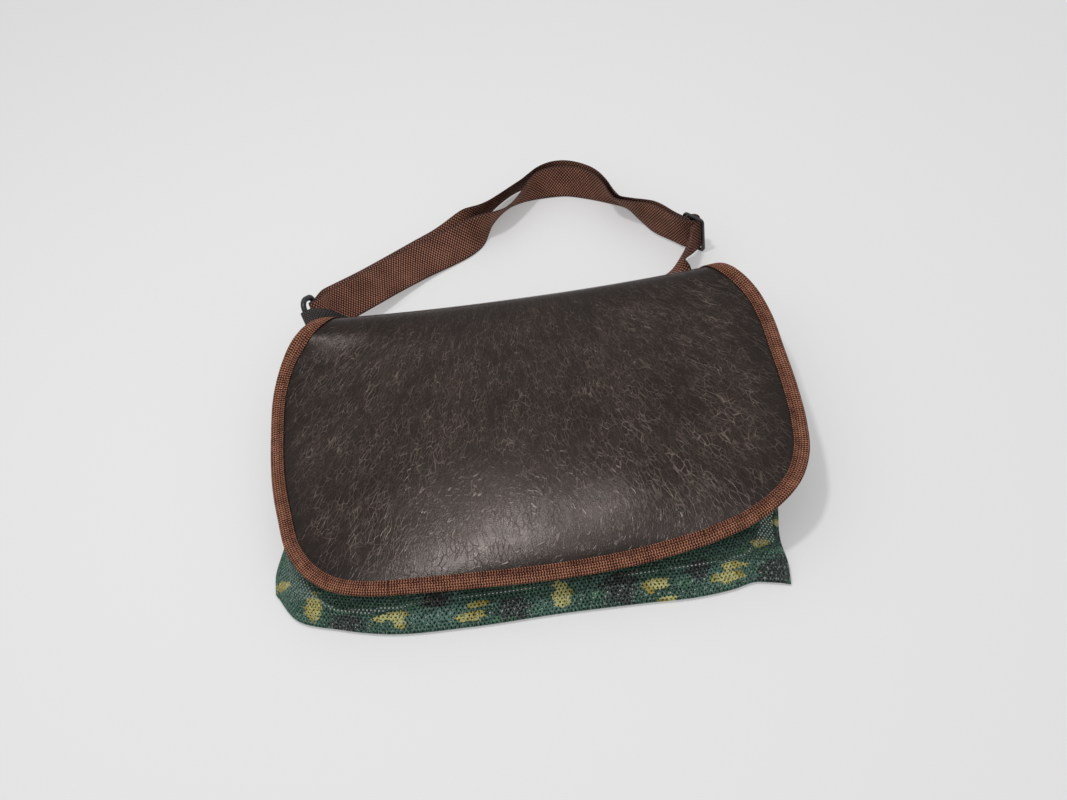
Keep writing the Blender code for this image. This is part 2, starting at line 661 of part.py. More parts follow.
def strap_layers():
    """Front and back layers between the ring and the slider: places and width lines."""
    rows = np.array(STRAP_RUN)
    run = running_length(rows[:, :2])
    count = int(run[-1] / STRAP_STEP)
    at = np.linspace(0.0, run[-1], count)
    x, y, edge, lean, apart, lean_back = smooth_table(np.column_stack([run, rows]), at).T
    heading = np.gradient(np.column_stack([x, y]), axis=0)
    heading /= np.linalg.norm(heading, axis=1, keepdims=True)
    rearward = np.column_stack([-heading[:, 1], heading[:, 0], np.zeros(count)])
    up = np.array([0.0, 0.0, 1.0])

    def width_line(angle):
        angle = np.radians(angle)[:, None]
        return rearward * np.sin(angle) + up * np.cos(angle)

    def middle_height(angle):
        angle = np.abs(np.radians(angle))
        return edge + STRAP_CLEAR + (WEBBING_WIDE * np.cos(angle) + WEBBING_THICK * np.sin(angle)) / 2

    front = np.column_stack([x, y, middle_height(lean)])
    back = np.column_stack([x, y, middle_height(lean_back)]) + rearward * apart[:, None]
    return front, width_line(lean), back, width_line(lean_back)


def strap_bar(at, bars, across, toward):
    """A ring's strap bar: its middle, its line, the strap's pull and the face that it meets."""
    bars, across, _ = ring_axes(bars, across)
    bar = np.array(at) - across * RING_SPACING / 2
    face = unit(np.cross(unit(toward - bar), bars))
    return bar, bars, np.cross(bars, face), face


def strap_return(bar, bars, pull, face):
    """Places and width lines from the slider to the right ring, turning flat on the way."""
    table = np.array(STRAP_RETURN)
    heading = unit([*(table[-1, :2] - table[0, :2]), 0.0])
    side = np.array([-heading[1], heading[0], 0.0])
    rows = []
    for x, y, z, lean in table:
        lean = math.radians(lean)
        rows.append([x, y, z, *(side * math.sin(lean) + np.array([0.0, 0.0, math.cos(lean)]))])
    rows.append([*(bar + pull * STRAP_HEM + face * STRAP_WRAP), *bars])
    return along(rows, STRAP_RETURN_ROWS)


def make_strap(material):
    """One run of webbing: tail, slider, left ring, slider again and right ring."""
    front, front_width, back, back_width = strap_layers()
    up = np.array([0.0, 0.0, 1.0])
    route, widths = [], []

    def add(points, width):
        route.extend(points)
        widths.extend([width] * len(points))

    tail = TAIL_END + round_bar(TAIL_LOOP, *TAIL_TURN) + TAIL_START
    add([slider_point(a, f) for a, f in tail], up)
    route.extend(front[::-1])
    widths.extend(front_width[::-1])
    middle = (front[0] + back[0]) / 2
    bar, bars, pull, face = strap_bar(LEFT_RING_AT, LEFT_RING_BARS, LEFT_RING_ACROSS, middle)
    add(wrap(bar, -pull, face, STRAP_WRAP), bars)
    route.extend(back)
    widths.extend(back_width)
    over_tail = TAIL_LOOP + WEBBING_THICK + 2 * SEWN_GAP
    through = THROUGH_IN + round_bar(over_tail, *THROUGH_TURN) + THROUGH_OUT
    add([slider_point(a, f) for a, f in through], up)
    toward = np.array(STRAP_RETURN[-1][:3])
    bar, bars, pull, face = strap_bar(RIGHT_RING_AT, RIGHT_RING_BARS, RIGHT_RING_ACROSS, toward)
    face = -face
    rows = strap_return(bar, bars, pull, face)
    route.extend(rows[:, :3])
    widths.extend(rows[:, 3:])
    add(wrap(bar, -pull, face, STRAP_WRAP), bars)
    for step in HEM_STEPS:
        add([bar + pull * STRAP_HEM * step - face * STRAP_WRAP * (1 - HEM_CLOSE * step)], bars)
    return band("strap", route, widths, WEBBING_WIDE, WEBBING_THICK, material)


def main():
    clear_scene()
    for name in (COLLECTION, "cutters"):
        bpy.context.scene.collection.children.link(bpy.data.collections.new(name))
    leather = make_material("leatherette", (0.055, 0.040, 0.032), 0.45)
    tape = make_material("binding_tape", (0.33, 0.13, 0.065), 0.85)
    net = make_material("camo_net", (0.045, 0.085, 0.045), 0.9)
    webbing = make_material("brown_webbing", (0.13, 0.048, 0.028), 0.85)
    tab_cloth = make_material("tab_webbing", (0.035, 0.037, 0.036), 0.8)
    plastic = make_material("black_plastic", (0.018, 0.018, 0.020), 0.4)
    make_sheet(leather)
    make_binding(tape)
    make_net(net)
    left = (LEFT_RING_AT, LEFT_RING_BARS, LEFT_RING_ACROSS)
    right = (RIGHT_RING_AT, RIGHT_RING_BARS, RIGHT_RING_ACROSS)
    make_ring("dring_left", *left, plastic)
    make_ring("dring_right", *right, plastic)
    make_tab("tab_left", *left, LEFT_TAB, tab_cloth)
    make_tab("tab_right", *right, RIGHT_TAB, tab_cloth)
    make_slider(plastic)
    make_strap(webbing)


main()
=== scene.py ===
# %% [markdown]
# # Hunting game bag
# A hunter's game bag is a plain satchel. One large piece of leatherette makes the back wall,
# rolls over the top and hangs down in front as the flap. A woven tape binds its edge, a net
# pouch is sewn inside it, and a shoulder strap of webbing runs between two rings. The bag
# lies on its back here, lightly stuffed. The measured solids are already in the scene, and
# this lesson dresses them: each soft solid is replaced by a fine mesh in the same place.

# %% Load the measured model
import math

import bpy
import numpy as np
from mathutils import Matrix, Vector


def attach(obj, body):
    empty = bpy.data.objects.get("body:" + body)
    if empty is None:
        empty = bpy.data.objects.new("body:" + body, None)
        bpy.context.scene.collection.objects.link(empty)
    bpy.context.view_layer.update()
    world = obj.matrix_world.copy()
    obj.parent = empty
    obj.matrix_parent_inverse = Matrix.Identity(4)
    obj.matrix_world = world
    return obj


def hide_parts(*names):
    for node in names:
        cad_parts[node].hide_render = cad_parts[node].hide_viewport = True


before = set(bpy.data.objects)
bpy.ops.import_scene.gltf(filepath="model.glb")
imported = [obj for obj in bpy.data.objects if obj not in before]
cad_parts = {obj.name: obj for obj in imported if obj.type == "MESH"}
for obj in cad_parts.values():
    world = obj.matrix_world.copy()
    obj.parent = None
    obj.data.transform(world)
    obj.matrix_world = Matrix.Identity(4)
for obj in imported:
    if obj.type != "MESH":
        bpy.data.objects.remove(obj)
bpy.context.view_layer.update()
print("nodes:", sorted(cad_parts))

# %% [markdown]
# ## Camera
# The picture is taken from in front and above, about as a person looks down at a bag on a
# table. A long lens keeps the proportions calm. The camera is turned a little about its own
# line of sight, so the bag leans in the frame although it lies square on the table.

# %% Place the camera
PHOTO_WIDE = 1067
FOCAL_PIXELS = 1400
SENSOR_WIDE = 36.0
CAMERA_AIM = Vector((0.0, 0.0, 0.03))
CAMERA_AWAY = 1.05
CAMERA_ABOVE = math.radians(48.0)
CAMERA_ROLL = math.radians(-10.0)


def add_object(name, data):
    made = bpy.data.objects.new(name, data)
    bpy.context.scene.collection.objects.link(made)
    return made


def place_camera():
    data = bpy.data.cameras.new("camera")
    data.sensor_width = SENSOR_WIDE
    data.lens = FOCAL_PIXELS / PHOTO_WIDE * SENSOR_WIDE
    camera = add_object("camera", data)
    away = Vector((0.0, -math.cos(CAMERA_ABOVE), math.sin(CAMERA_ABOVE)))
    camera.location = CAMERA_AIM + away * CAMERA_AWAY
    aimed = (-away).to_track_quat("-Z", "Y").to_matrix()
    camera.rotation_euler = (aimed @ Matrix.Rotation(CAMERA_ROLL, 3, "Z")).to_euler()
    bpy.context.scene.camera = camera
    return camera


camera = place_camera()
print("camera at", [round(c, 3) for c in camera.location], "lens", round(camera.data.lens, 2))

# %% [markdown]
# ## Node helpers
# Every finish below is a small network of shader nodes. Blender makes one node at a time, so
# a helper that makes a node, sets it and wires it in one call keeps the recipes short enough
# to read. A recipe returns what goes into a Principled shader.


# %% Helpers for materials
def fill(tree, target, inputs):
    """Set a node's inputs; each is a value or another node's output."""
    for socket, value in inputs.items():
        if isinstance(value, bpy.types.NodeSocket):
            tree.links.new(value, target.inputs[socket])
        else:
            target.inputs[socket].default_value = value


def new_material(name, recipe, *settings):
    material = bpy.data.materials.new(name)
    material.use_nodes = True
    tree = material.node_tree
    fill(tree, tree.nodes["Principled BSDF"], recipe(tree, *settings))
    print("material", name, "with", len(tree.nodes), "nodes")
    return material


def node(tree, kind, inputs, output=0, **settings):
    """One output of a new node that has these inputs and settings."""
    made = tree.nodes.new(kind)
    for key, value in settings.items():
        setattr(made, key, value)
    fill(tree, made, inputs)
    return made.outputs[output]


def cloth_place(tree):
    """Cloth coordinates in metres, as the mesh stores them."""
    return node(tree, "ShaderNodeUVMap", {}, uv_map="cloth")


def mark(tree, name):
    """A value that the mesh stores at its points."""
    return node(tree, "ShaderNodeAttribute", {}, "Fac", attribute_name=name)


def split(tree, place):
    return node(tree, "ShaderNodeSeparateXYZ", {0: place}).node.outputs[:2]


def calculate(tree, operation, first, second=0.0):
    return node(tree, "ShaderNodeMath", {0: first, 1: second}, operation=operation)


def plus(tree, first, second):
    return calculate(tree, "ADD", first, second)


def times(tree, first, second):
    return calculate(tree, "MULTIPLY", first, second)


def wave(tree, value, pitch):
    """A cosine that comes round once a pitch."""
    return calculate(tree, "COSINE", times(tree, value, 2 * math.pi / pitch))


def noise(tree, place, scale, detail=3.0):
    return node(tree, "ShaderNodeTexNoise", {"Vector": place, "Scale": scale, "Detail": detail})


def remap(tree, value, low, high, start=0.0, end=1.0):
    """A value from low to high, stretched to run from start to end."""
    inputs = {"Value": value, "From Min": low, "From Max": high, "To Min": start, "To Max": end}
    return node(tree, "ShaderNodeMapRange", inputs)


def mottle(tree, place, scale, detail, *span):
    """Noise of a scale and a detail, remapped over a span."""
    return remap(tree, noise(tree, place, scale, detail), *span)


def blend(tree, share, first, second):
    """Two colours mixed; each is red, green and blue, or another node's output."""
    first, second = [c if isinstance(c, bpy.types.NodeSocket) else (*c, 1.0) for c in (first, second)]
    return node(tree, "ShaderNodeMix", {0: share, 6: first, 7: second}, 2, data_type="RGBA")


def bump(tree, height, depth, **under):
    return node(tree, "ShaderNodeBump", {"Height": height, "Distance": depth, "Strength": 1.0, **under})


def principled(colour, roughness, normal, shine):
    """What goes into a Principled shader."""
    return {"Base Color": colour, "Roughness": roughness, "Normal": normal, "Specular IOR Level": shine}


# %% [markdown]
# ## Studio
# The bag lies on a pale table under very soft light. The sky and a very wide sun act as a
# bright ceiling, and the table glows a little, as a light table does, so hardly any shadow
# is left. One softbox above the bag gives the calm highlight where the flap curves toward
# the viewer.

# %% Table, sky and lights
TABLE_SIZE = 8.0
TABLE_GREY = 0.52
TABLE_GLOW = 0.285
TABLE_ROUGHNESS = 0.9
TABLE_SHINE = 0.1
SKY_STRENGTH = 0.5
CEILING_STRENGTH = 0.44
CEILING_ANGLE = math.radians(110.0)
CEILING_TILT = (math.radians(-12.0), 0.0, 0.0)
SOFTBOX_POWER = 5.6
SOFTBOX_SIZE = 0.14
SOFTBOX_AT = (-0.19, 0.05, 1.25)
SOFTBOX_AIM = (-0.03, -0.08, 0.0)
WHITE = (1.0, 1.0, 1.0, 1.0)


def table_card(tree):
    return {"Base Color": (TABLE_GREY, TABLE_GREY, TABLE_GREY, 1.0), "Roughness": TABLE_ROUGHNESS,
            "Specular IOR Level": TABLE_SHINE, "Emission Color": WHITE, "Emission Strength": TABLE_GLOW}


def make_table():
    half = TABLE_SIZE / 2
    mesh = bpy.data.meshes.new("table")
    corners = [(-half, -half, 0.0), (half, -half, 0.0), (half, half, 0.0), (-half, half, 0.0)]
    mesh.from_pydata(corners, [], [(0, 1, 2, 3)])
    mesh.materials.append(new_material("table_card", table_card))
    add_object("table", mesh)


def make_sky():
    world = bpy.data.worlds.new("pale_sky")
    world.use_nodes = True
    sky = {"Color": WHITE, "Strength": SKY_STRENGTH}
    fill(world.node_tree, world.node_tree.nodes["Background"], sky)
    bpy.context.scene.world = world
    bpy.context.scene.view_settings.view_transform = "Standard"


def add_light(name, kind, power, **settings):
    data = bpy.data.lights.new(name, kind)
    data.energy = power
    for key, value in settings.items():
        setattr(data, key, value)
    return add_object(name, data)


def make_studio():
    make_table()
    make_sky()
    ceiling = add_light("ceiling", "SUN", CEILING_STRENGTH, angle=CEILING_ANGLE)
    ceiling.rotation_euler = CEILING_TILT
    softbox = add_light("softbox", "AREA", SOFTBOX_POWER, shape="DISK", size=SOFTBOX_SIZE)
    softbox.location = SOFTBOX_AT
    softbox.rotation_euler = (Vector(SOFTBOX_AIM) - softbox.location).to_track_quat("-Z", "Y").to_euler()


make_studio()
print("studio ready")

# %% [markdown]
# ## Curves from short tables
# The bag is soft, but its outline still follows a few points, as a paper pattern does. A
# smooth curve through a short table gives any number of points for a fine mesh, and a patch
# fills the space between four edges with an even grid.


# %% Helpers for curves and grids
def unit(vectors):
    """One vector or many, brought to length one."""
    vectors = np.asarray(vectors, float)
    return vectors / np.linalg.norm(vectors, axis=-1, keepdims=True)


def metres(table):
    """A table written down in millimetres."""
    return np.array(table) / 1000


def clamp(value):
    return np.clip(value, 0.0, 1.0)


def smooth_table(table, at):
    """Rows of a table at the keys in its first column, joined by a smooth curve."""
    table = np.asarray(table, float)
    at = np.atleast_1d(at)
    keys, values = table[:, 0], table[:, 1:]
    slopes = np.gradient(values, keys, axis=0)
    i = np.clip(np.searchsorted(keys, at, side="right") - 1, 0, len(keys) - 2)
    width = keys[i + 1] - keys[i]
    t = clamp((at - keys[i]) / width)[:, None]
    width = width[:, None]
    return ((2 * t**3 - 3 * t**2 + 1) * values[i] + (t**3 - 2 * t**2 + t) * width * slopes[i]
            + (3 * t**2 - 2 * t**3) * values[i + 1] + (t**3 - t**2) * width * slopes[i + 1])


def running_length(points):
    """Length of the way to each point; columns past the third aren't places."""
    steps = np.linalg.norm(np.diff(points[:, :3], axis=0), axis=1)
    return np.concatenate([[0.0], np.cumsum(steps)])


def along(points, count, fineness=40):
    """Evenly spaced points on a smooth curve through the given ones."""
    points = np.asarray(points, float)
    length = running_length(points)
    table = np.column_stack([length, points])
    fine = smooth_table(table, np.linspace(0.0, length[-1], fineness * count))
    run = running_length(fine)
    at = np.linspace(0.0, run[-1], count)
    return np.column_stack([np.interp(at, run, fine[:, k]) for k in range(points.shape[1])])


def patch(first, last, left, right):
    """Grid of points between four edges: rows go from the first edge to the last one."""
    u = np.linspace(0.0, 1.0, len(first))[None, :, None]
    v = np.linspace(0.0, 1.0, len(left))[:, None, None]
    corners = ((1 - u) * (1 - v) * first[0] + u * (1 - v) * first[-1]
               + (1 - u) * v * last[0] + u * v * last[-1])
    return ((1 - v) * first[None] + v * last[None]
            + (1 - u) * left[:, None] + u * right[:, None] - corners)


def normals(place, u, v, step):
    """Normal lines of a surface whose place function takes two coordinates."""
    side = place(u + step, v) - place(u - step, v)
    return unit(np.cross(side, place(u, v + step) - place(u, v - step)))


def inset(loop, distance):
    """A closed outline moved inward by a distance."""
    ahead = unit(np.roll(loop, -1, axis=0) - np.roll(loop, 1, axis=0))
    inward = np.column_stack([-ahead[:, 1], ahead[:, 0]])
    area = np.sum(loop[:, 0] * np.roll(loop[:, 1], -1) - np.roll(loop[:, 0], -1) * loop[:, 1])
    return loop + inward * distance * (1.0 if area > 0 else -1.0)


# %% [markdown]
# ## Meshes that are closed walls
# Real cloth has two sides and an edge. A helper doubles a sheet of faces and closes every
# open edge with a rim, holes included, so each piece could be printed or weighed. Cloth
# coordinates in metres are stored as a UV map, so a weave keeps its true scale on any fold.


# %% Helpers for meshes
def quads(*corners):
    return np.stack([c.ravel() for c in corners], axis=1)


def grid_faces(rows, columns):
    number = np.arange(rows * columns).reshape(rows, columns)
    return quads(number[:-1, :-1], number[:-1, 1:], number[1:, 1:], number[1:, :-1])


def tube_faces(stations, ring, closed):
    """Faces round a swept section; a closed sweep joins its last station to its first."""
    number = np.arange(stations * ring).reshape(stations, ring)
    ahead = np.roll(number, -1, axis=0)
    if not closed:
        number, ahead = number[:-1], ahead[:-1]
    return quads(number, np.roll(number, -1, axis=1), np.roll(ahead, -1, axis=1), ahead)


def mesh_grid(first, second):
    """Two values at each point of a grid, as rows of two."""
    return np.stack(np.broadcast_arrays(first, second), axis=2).reshape(-1, 2)


def closed_wall(top, under, faces):
    """Points and faces of a wall: two sides, and a rim wherever a face has no neighbour."""
    count = len(top)
    ahead = np.roll(faces, -1, axis=1)
    edge, back = (faces * count + ahead).ravel(), (ahead * count + faces).ravel()
    open_edge = ~np.isin(edge, back)
    start, end = faces.ravel()[open_edge], ahead.ravel()[open_edge]
    rim = quads(end, start, start + count, end + count)
    return np.concatenate([top, under]), np.concatenate([faces, faces[:, ::-1] + count, rim])


def add_piece(name, points, faces, material, cloth=None, marks=(), caps=()):
    """A smooth-shaded piece, with cloth coordinates and named values at its points."""
    mesh = bpy.data.meshes.new(name)
    mesh.from_pydata(points.tolist(), [], faces.tolist() + list(caps))
    a, b, c = (points[faces[:, k]] for k in range(3))
    d = points[faces[:, -1]]
    volume = np.sum(np.cross(a, b) * c) + np.sum(np.cross(a, c) * d)
    if volume < 0:
        mesh.flip_normals()
    mesh.shade_smooth()
    mesh.materials.append(material)
    if cloth is not None:
        corner = np.empty(len(mesh.loops), dtype=np.int32)
        mesh.loops.foreach_get("vertex_index", corner)
        layer = mesh.uv_layers.new(name="cloth")
        layer.data.foreach_set("uv", cloth[corner].astype(np.float32).ravel())
    for key, values in dict(marks).items():
        mesh.attributes.new(key, "FLOAT", "POINT").data.foreach_set("value", values.astype(np.float32))
    piece = add_object(name, mesh)
    triangles = sum(len(p.vertices) - 2 for p in mesh.polygons)
    print(name, triangles, "triangles, box in mm",
          np.round(points.min(axis=0) * 1000, 1), np.round(points.max(axis=0) * 1000, 1))
    return piece


def dress(piece, slot, *nodes):
    """The piece rides with the bag and stands in for solids of the model."""
    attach(piece, "root")
    if nodes:
        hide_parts(*nodes)


# %% [markdown]
# ## Form of the leatherette
# The sheet is cut flat and then bent. Its cutting pattern has two directions: across the bag,
# and along it, from the flap over the crest to the back wall. A profile table says where each
# line along the sheet lies, and small rises say how its two side edges lift or droop. Any
# point of the pattern can then be placed in space, which is how the leather, its binding and
# the stitches all meet exactly.

# %% Tables of the sheet
LEATHER_THICK = 0.0016
TAPE_THICK = 0.0008
TAPE_LEG = 0.011
SEWN_GAP = 0.0004
CREST_RADIUS = 0.0262
CREST_Y = 0.0745
CREST_DROP = 0.0006
SHEAR = -0.045
CREST_SHEAR = -0.012
CREST_SHEAR_REACH = 0.1
EDGE_REACH = 0.19
DOME_POWER = 2.2
BACK_LIFT = 0.0016
BACK_FLAT_REACH = 0.014
BACK_LIFT_START = -0.02
BACK_LIFT_REACH = 0.014
SHEET_STEP = 0.0005
BATCHES = 60
OUTLINE_STEPS = (18, 44)

# From the flap's lower edge to the crest: y, z at the middle, rise at the left and right edge
PROFILE = metres([
    (-180, 14, 5, 17), (-161.7, 23.5, 1, 15), (-150, 29, -4, 13), (-135, 34, -9, 9),
    (-110, 40.5, -15, 3), (-60, 49, -21, -4), (0, 54.5, -23, -6.5), (35, 55.3, -16, -3),
    (58, 54.8, -7, 2),
])
CREST_RISE = [
    # turn of the crest in degrees from its top, rise left, rise right
    (0.0, 0.0045, 0.008), (30.0, 0.009, 0.0105), (60.0, 0.0105, 0.011), (90.0, 0.007, 0.008),
    (120.0, 0.003, 0.0035), (150.0, 0.0005, 0.0005), (180.0, 0.0, 0.0),
]
CREST_STEPS = 12
BACK_ROWS = metres([69, 60, 50, 30, 0, -50, -100, -140, -165])

# Cutting pattern: across, along, where along is 0 on the crest's rearmost line, positive on the flap
FLAP_EDGE = metres([(-120, 274.5), (-70, 277.5), (-4, 279.5), (53, 277.5), (100, 272)])
BACK_EDGE = metres([(-140, -263.1), (-60, -264), (0, -264), (60, -264), (112, -263)])
LEFT_EDGE = metres([
    (-120, 274.5), (-140, 271.5), (-160, 264), (-175.5, 251), (-189, 228), (-196.5, 191.5),
    (-200.5, 154), (-200, 116), (-195, 80), (-185, 56), (-170, 38), (-154, 20), (-145, 0), (-152, -22),
    (-168, -44), (-180, -66), (-187, -100), (-189, -150), (-187, -205), (-178, -242), (-162, -258),
    (-140, -263.1),
])
RIGHT_EDGE = metres([
    (100, 272), (130, 264), (152, 253), (170, 237), (182, 214), (187, 188), (189, 154), (188.5, 116),
    (187, 82), (181, 56), (171, 38), (160, 20), (153, 0), (157, -22), (166, -44), (168, -66),
    (161, -100), (151, -150), (147, -205), (141, -240), (129, -257.5), (112, -263),
])


# %% Bend the cutting pattern into the bag
def profile_table():
    """Profile as rows of along, y, z, rise left, rise right, from back to flap."""
    rows = [list(row) for row in PROFILE]
    centre_z = PROFILE[-1][1] - CREST_DROP - CREST_RADIUS
    turns = np.linspace(0.0, 180.0, CREST_STEPS + 1)
    for turn, (left, right) in zip(turns, smooth_table(CREST_RISE, turns)):
        angle = math.radians(turn)
        y = CREST_Y + CREST_RADIUS * math.sin(angle)
        z = centre_z + CREST_RADIUS * math.cos(angle)
        rows.append([y, z, left, right])
    floor_z = LEATHER_THICK / 2
    lowest = rows[-1][1]
    for row in rows[len(PROFILE):]:
        row[1] += (floor_z - lowest) * (centre_z + CREST_RADIUS - row[1]) / (2 * CREST_RADIUS)
    for y in BACK_ROWS:
        rows.append([y, floor_z, 0.0, 0.0])
    rows = np.array(rows)
    run = running_length(rows[:, :2])
    rear = run[len(PROFILE) + CREST_STEPS // 2]
    return np.column_stack([rear - run, rows])[::-1]


SHEET_PROFILE = profile_table()


def sheet_middle(across, run):
    """Place of the sheet's middle surface at a point of its cutting pattern."""
    y, z, left, right = smooth_table(SHEET_PROFILE, run.ravel()).T.reshape(4, *run.shape)
    rise = np.where(across < 0, left, right)
    z = z + rise * (np.abs(across) / EDGE_REACH) ** DOME_POWER
    shear = SHEAR + CREST_SHEAR * np.exp(-((run / CREST_SHEAR_REACH) ** 2))
    return np.stack([across, y + shear * across, z], axis=-1)


def pattern_loop(across_steps, side_steps):
    """The cutting pattern's outline as one closed row of points."""
    flap, back = along(FLAP_EDGE, across_steps + 1), along(BACK_EDGE, across_steps + 1)
    left, right = along(LEFT_EDGE, side_steps + 1), along(RIGHT_EDGE, side_steps + 1)
    return np.concatenate([flap[:-1], right[:-1], back[::-1][:-1], left[::-1][:-1]])


def split_loop(loop, across_steps, side_steps):
    """The four sides of an outline that pattern_loop made: flap, back, left and right."""
    flap = loop[:across_steps + 1]
    right = loop[across_steps:across_steps + side_steps + 1]
    back = loop[across_steps + side_steps:2 * across_steps + side_steps + 1][::-1]
    left = np.concatenate([loop[2 * across_steps + side_steps:], loop[:1]])[::-1]
    return flap, back, left, right


OUTLINE = pattern_loop(*OUTLINE_STEPS)


def edge_distance(points, edge):
    """How far each point of the pattern lies from an edge, in batches to save memory."""
    return np.concatenate([np.min(np.linalg.norm(batch[:, None] - edge[None], axis=2), axis=1)
                           for batch in np.array_split(points, BATCHES)])


def place_on_sheet(points, height):
    """Places at a height over the sheet's middle surface, outward positive."""
    across, run = points[:, 0], points[:, 1]
    height = np.broadcast_to(height, across.shape)[:, None]
    place = sheet_middle(across, run) + normals(sheet_middle, across, run, SHEET_STEP) * height
    distance = edge_distance(points, OUTLINE)
    near = clamp((TAPE_LEG + BACK_FLAT_REACH - distance) / BACK_FLAT_REACH)
    on_back = clamp((BACK_LIFT_START - run) / BACK_LIFT_REACH)
    place[:, 2] += BACK_LIFT * near * near * (3 - 2 * near) * on_back
    return place


print("sheet runs", np.round(SHEET_PROFILE[[0, -1], 0], 4), "m from the crest's rear line")

# %% [markdown]
# ## Leatherette finish
# Leatherette is cloth with a printed and embossed plastic face. Its face is almost black
# brown, and fine creases run over it, fanning out from the top of the flap and fading
# near the edge. The creases are painted pale, a painted glint that stands for light caught on
# their ridges. Cells of a Voronoi texture give the creases: the distance to a cell's border
# is zero on the border, so a narrow band there is a crease. The cells are stretched along
# lines that leave the crest, because that is how the flap has been pulled and rolled.

# %% Leatherette material
LEATHER_DARK = (0.0072, 0.0038, 0.0027)
LEATHER_COOL = (0.0085, 0.005, 0.0042)
# Painted glint: the pale colour of the crease lines stands for light caught on their ridges
PAINTED_CREASE_GLINT = (0.21, 0.158, 0.13)
FAN_CENTRE = (0.0, -0.07, 0.0)
FAN_RADIUS = 0.23
FAN_STRETCH = 0.3
WANDER_SCALE = 48.0
WANDER_DETAIL = 3.0
WANDER_REACH = (0.01, 0.01, 0.0)
# Cells a metre, width of a line as a share of a cell
LONG_CREASES = (410.0, 0.062)
SHORT_CREASES = (720.0, 0.085)
GRAIN = (900.0, 0.17)
GRAIN_SHARE = 0.15
# Noise: scale, detail, its low and high value, what they become
CROWDING = (24.0, 3.0, 0.36, 0.64, 0.5, 1.0)
LONG_DEPTH = (150.0, 2.0, 0.38, 0.62, 0.15, 0.85)
SHORT_DEPTH = (260.0, 2.0, 0.4, 0.6, 0.08, 0.4)
LEATHER_ROUGHNESS = (40.0, 3.0, 0.3, 0.7, 0.22, 0.28)
HUE_SCALE = 9.0
PORE_SCALE = 1100.0
PORE_DEPTH = 0.00003
CREASE_DEPTH = 0.00009
LEATHER_SHINE = 0.24
SHINE_TINT = (1.0, 0.88, 0.83, 1.0)


def fan_coordinates(tree, cloth):
    """Cloth coordinates bent into a fan: one direction leaves the crest, the other goes round it."""
    inputs = {"Vector": cloth, "Scale": WANDER_SCALE, "Detail": WANDER_DETAIL}
    wander = node(tree, "ShaderNodeTexNoise", inputs, 1)
    inputs = {0: wander, 1: WANDER_REACH, 2: cloth}
    pushed = node(tree, "ShaderNodeVectorMath", inputs, operation="MULTIPLY_ADD")
    moved = node(tree, "ShaderNodeVectorMath", {0: pushed, 1: FAN_CENTRE}, operation="SUBTRACT")
    angle = calculate(tree, "ARCTAN2", *split(tree, moved))
    away = node(tree, "ShaderNodeVectorMath", {0: moved}, 1, operation="LENGTH")
    inputs = {0: times(tree, angle, FAN_RADIUS), 1: times(tree, away, FAN_STRETCH)}
    return node(tree, "ShaderNodeCombineXYZ", inputs)


def creases(tree, place, scale, width):
    """Thin lines along the borders of cells, 1 on the line and 0 away from it."""
    inputs = {"Vector": place, "Scale": scale}
    border = node(tree, "ShaderNodeTexVoronoi", inputs, feature="DISTANCE_TO_EDGE")
    return remap(tree, border, 0.0, width, 1.0, 0.0)


def leather_face(tree):
    cloth = cloth_place(tree)
    fan = fan_coordinates(tree, cloth)
    long = times(tree, creases(tree, fan, *LONG_CREASES), mottle(tree, fan, *LONG_DEPTH))
    short = times(tree, creases(tree, fan, *SHORT_CREASES), mottle(tree, fan, *SHORT_DEPTH))
    grain = times(tree, creases(tree, cloth, *GRAIN), GRAIN_SHARE)
    lines = calculate(tree, "MAXIMUM", long, calculate(tree, "MAXIMUM", short, grain))
    crowded = times(tree, mottle(tree, cloth, *CROWDING), mark(tree, "inner"))
    ground = blend(tree, noise(tree, cloth, HUE_SCALE), LEATHER_DARK, LEATHER_COOL)
    pores = bump(tree, noise(tree, cloth, PORE_SCALE, 2.0), PORE_DEPTH)
    # Painted glint: the crease lines are painted pale, less near the edge and the crest
    colour = blend(tree, times(tree, lines, crowded), ground, PAINTED_CREASE_GLINT)
    normal = bump(tree, lines, CREASE_DEPTH, Normal=pores)
    inputs = principled(colour, mottle(tree, cloth, *LEATHER_ROUGHNESS), normal, LEATHER_SHINE)
    return {**inputs, "Specular Tint": SHINE_TINT}


leatherette = new_material("leatherette", leather_face)

# %% [markdown]
# ## The leather sheet
# A sheet this size never lies perfectly smooth. A table of broad, shallow dents is pressed
# into the fine grid, about a millimetre deep. They are real geometry, so they show from every
# side. They fade out under the tape, which has to lie flat on the sheet.

# %% Build the leather sheet
LEATHER_ACROSS = 176
LEATHER_ALONG = 236
SHEET_DENTS = metres([
    # across, along, half width across, half length along, height
    (-120, 175, 40, 35, -1.3), (-60, 215, 35, 30, 0.9), (-10, 150, 50, 30, -0.9),
    (60, 205, 30, 45, -1.2), (110, 150, 30, 40, 1), (135, 205, 22, 30, -0.9), (-150, 110, 25, 30, 0.8),
    (30, 90, 60, 18, 0.8), (-90, 85, 45, 16, -0.8),
])
DENT_MARGIN = 0.03
CREASE_REACH = 0.022
CREST_SMOOTH = 0.6
CREST_TOP = 0.03
CREST_HALF = 0.024
CREASE_LEAST = 0.2
EDGE_STEPS = (120, 260)


def sheet_relief(points, distance):
    """Shallow dents over the sheet, none under the binding."""
    across, run = points.T
    height = np.zeros(len(points))
    for x, along_it, wide, long, deep in SHEET_DENTS:
        height += deep * np.exp(-((across - x) / wide) ** 2 - ((run - along_it) / long) ** 2)
    return height * clamp((distance - TAPE_LEG) / DENT_MARGIN)


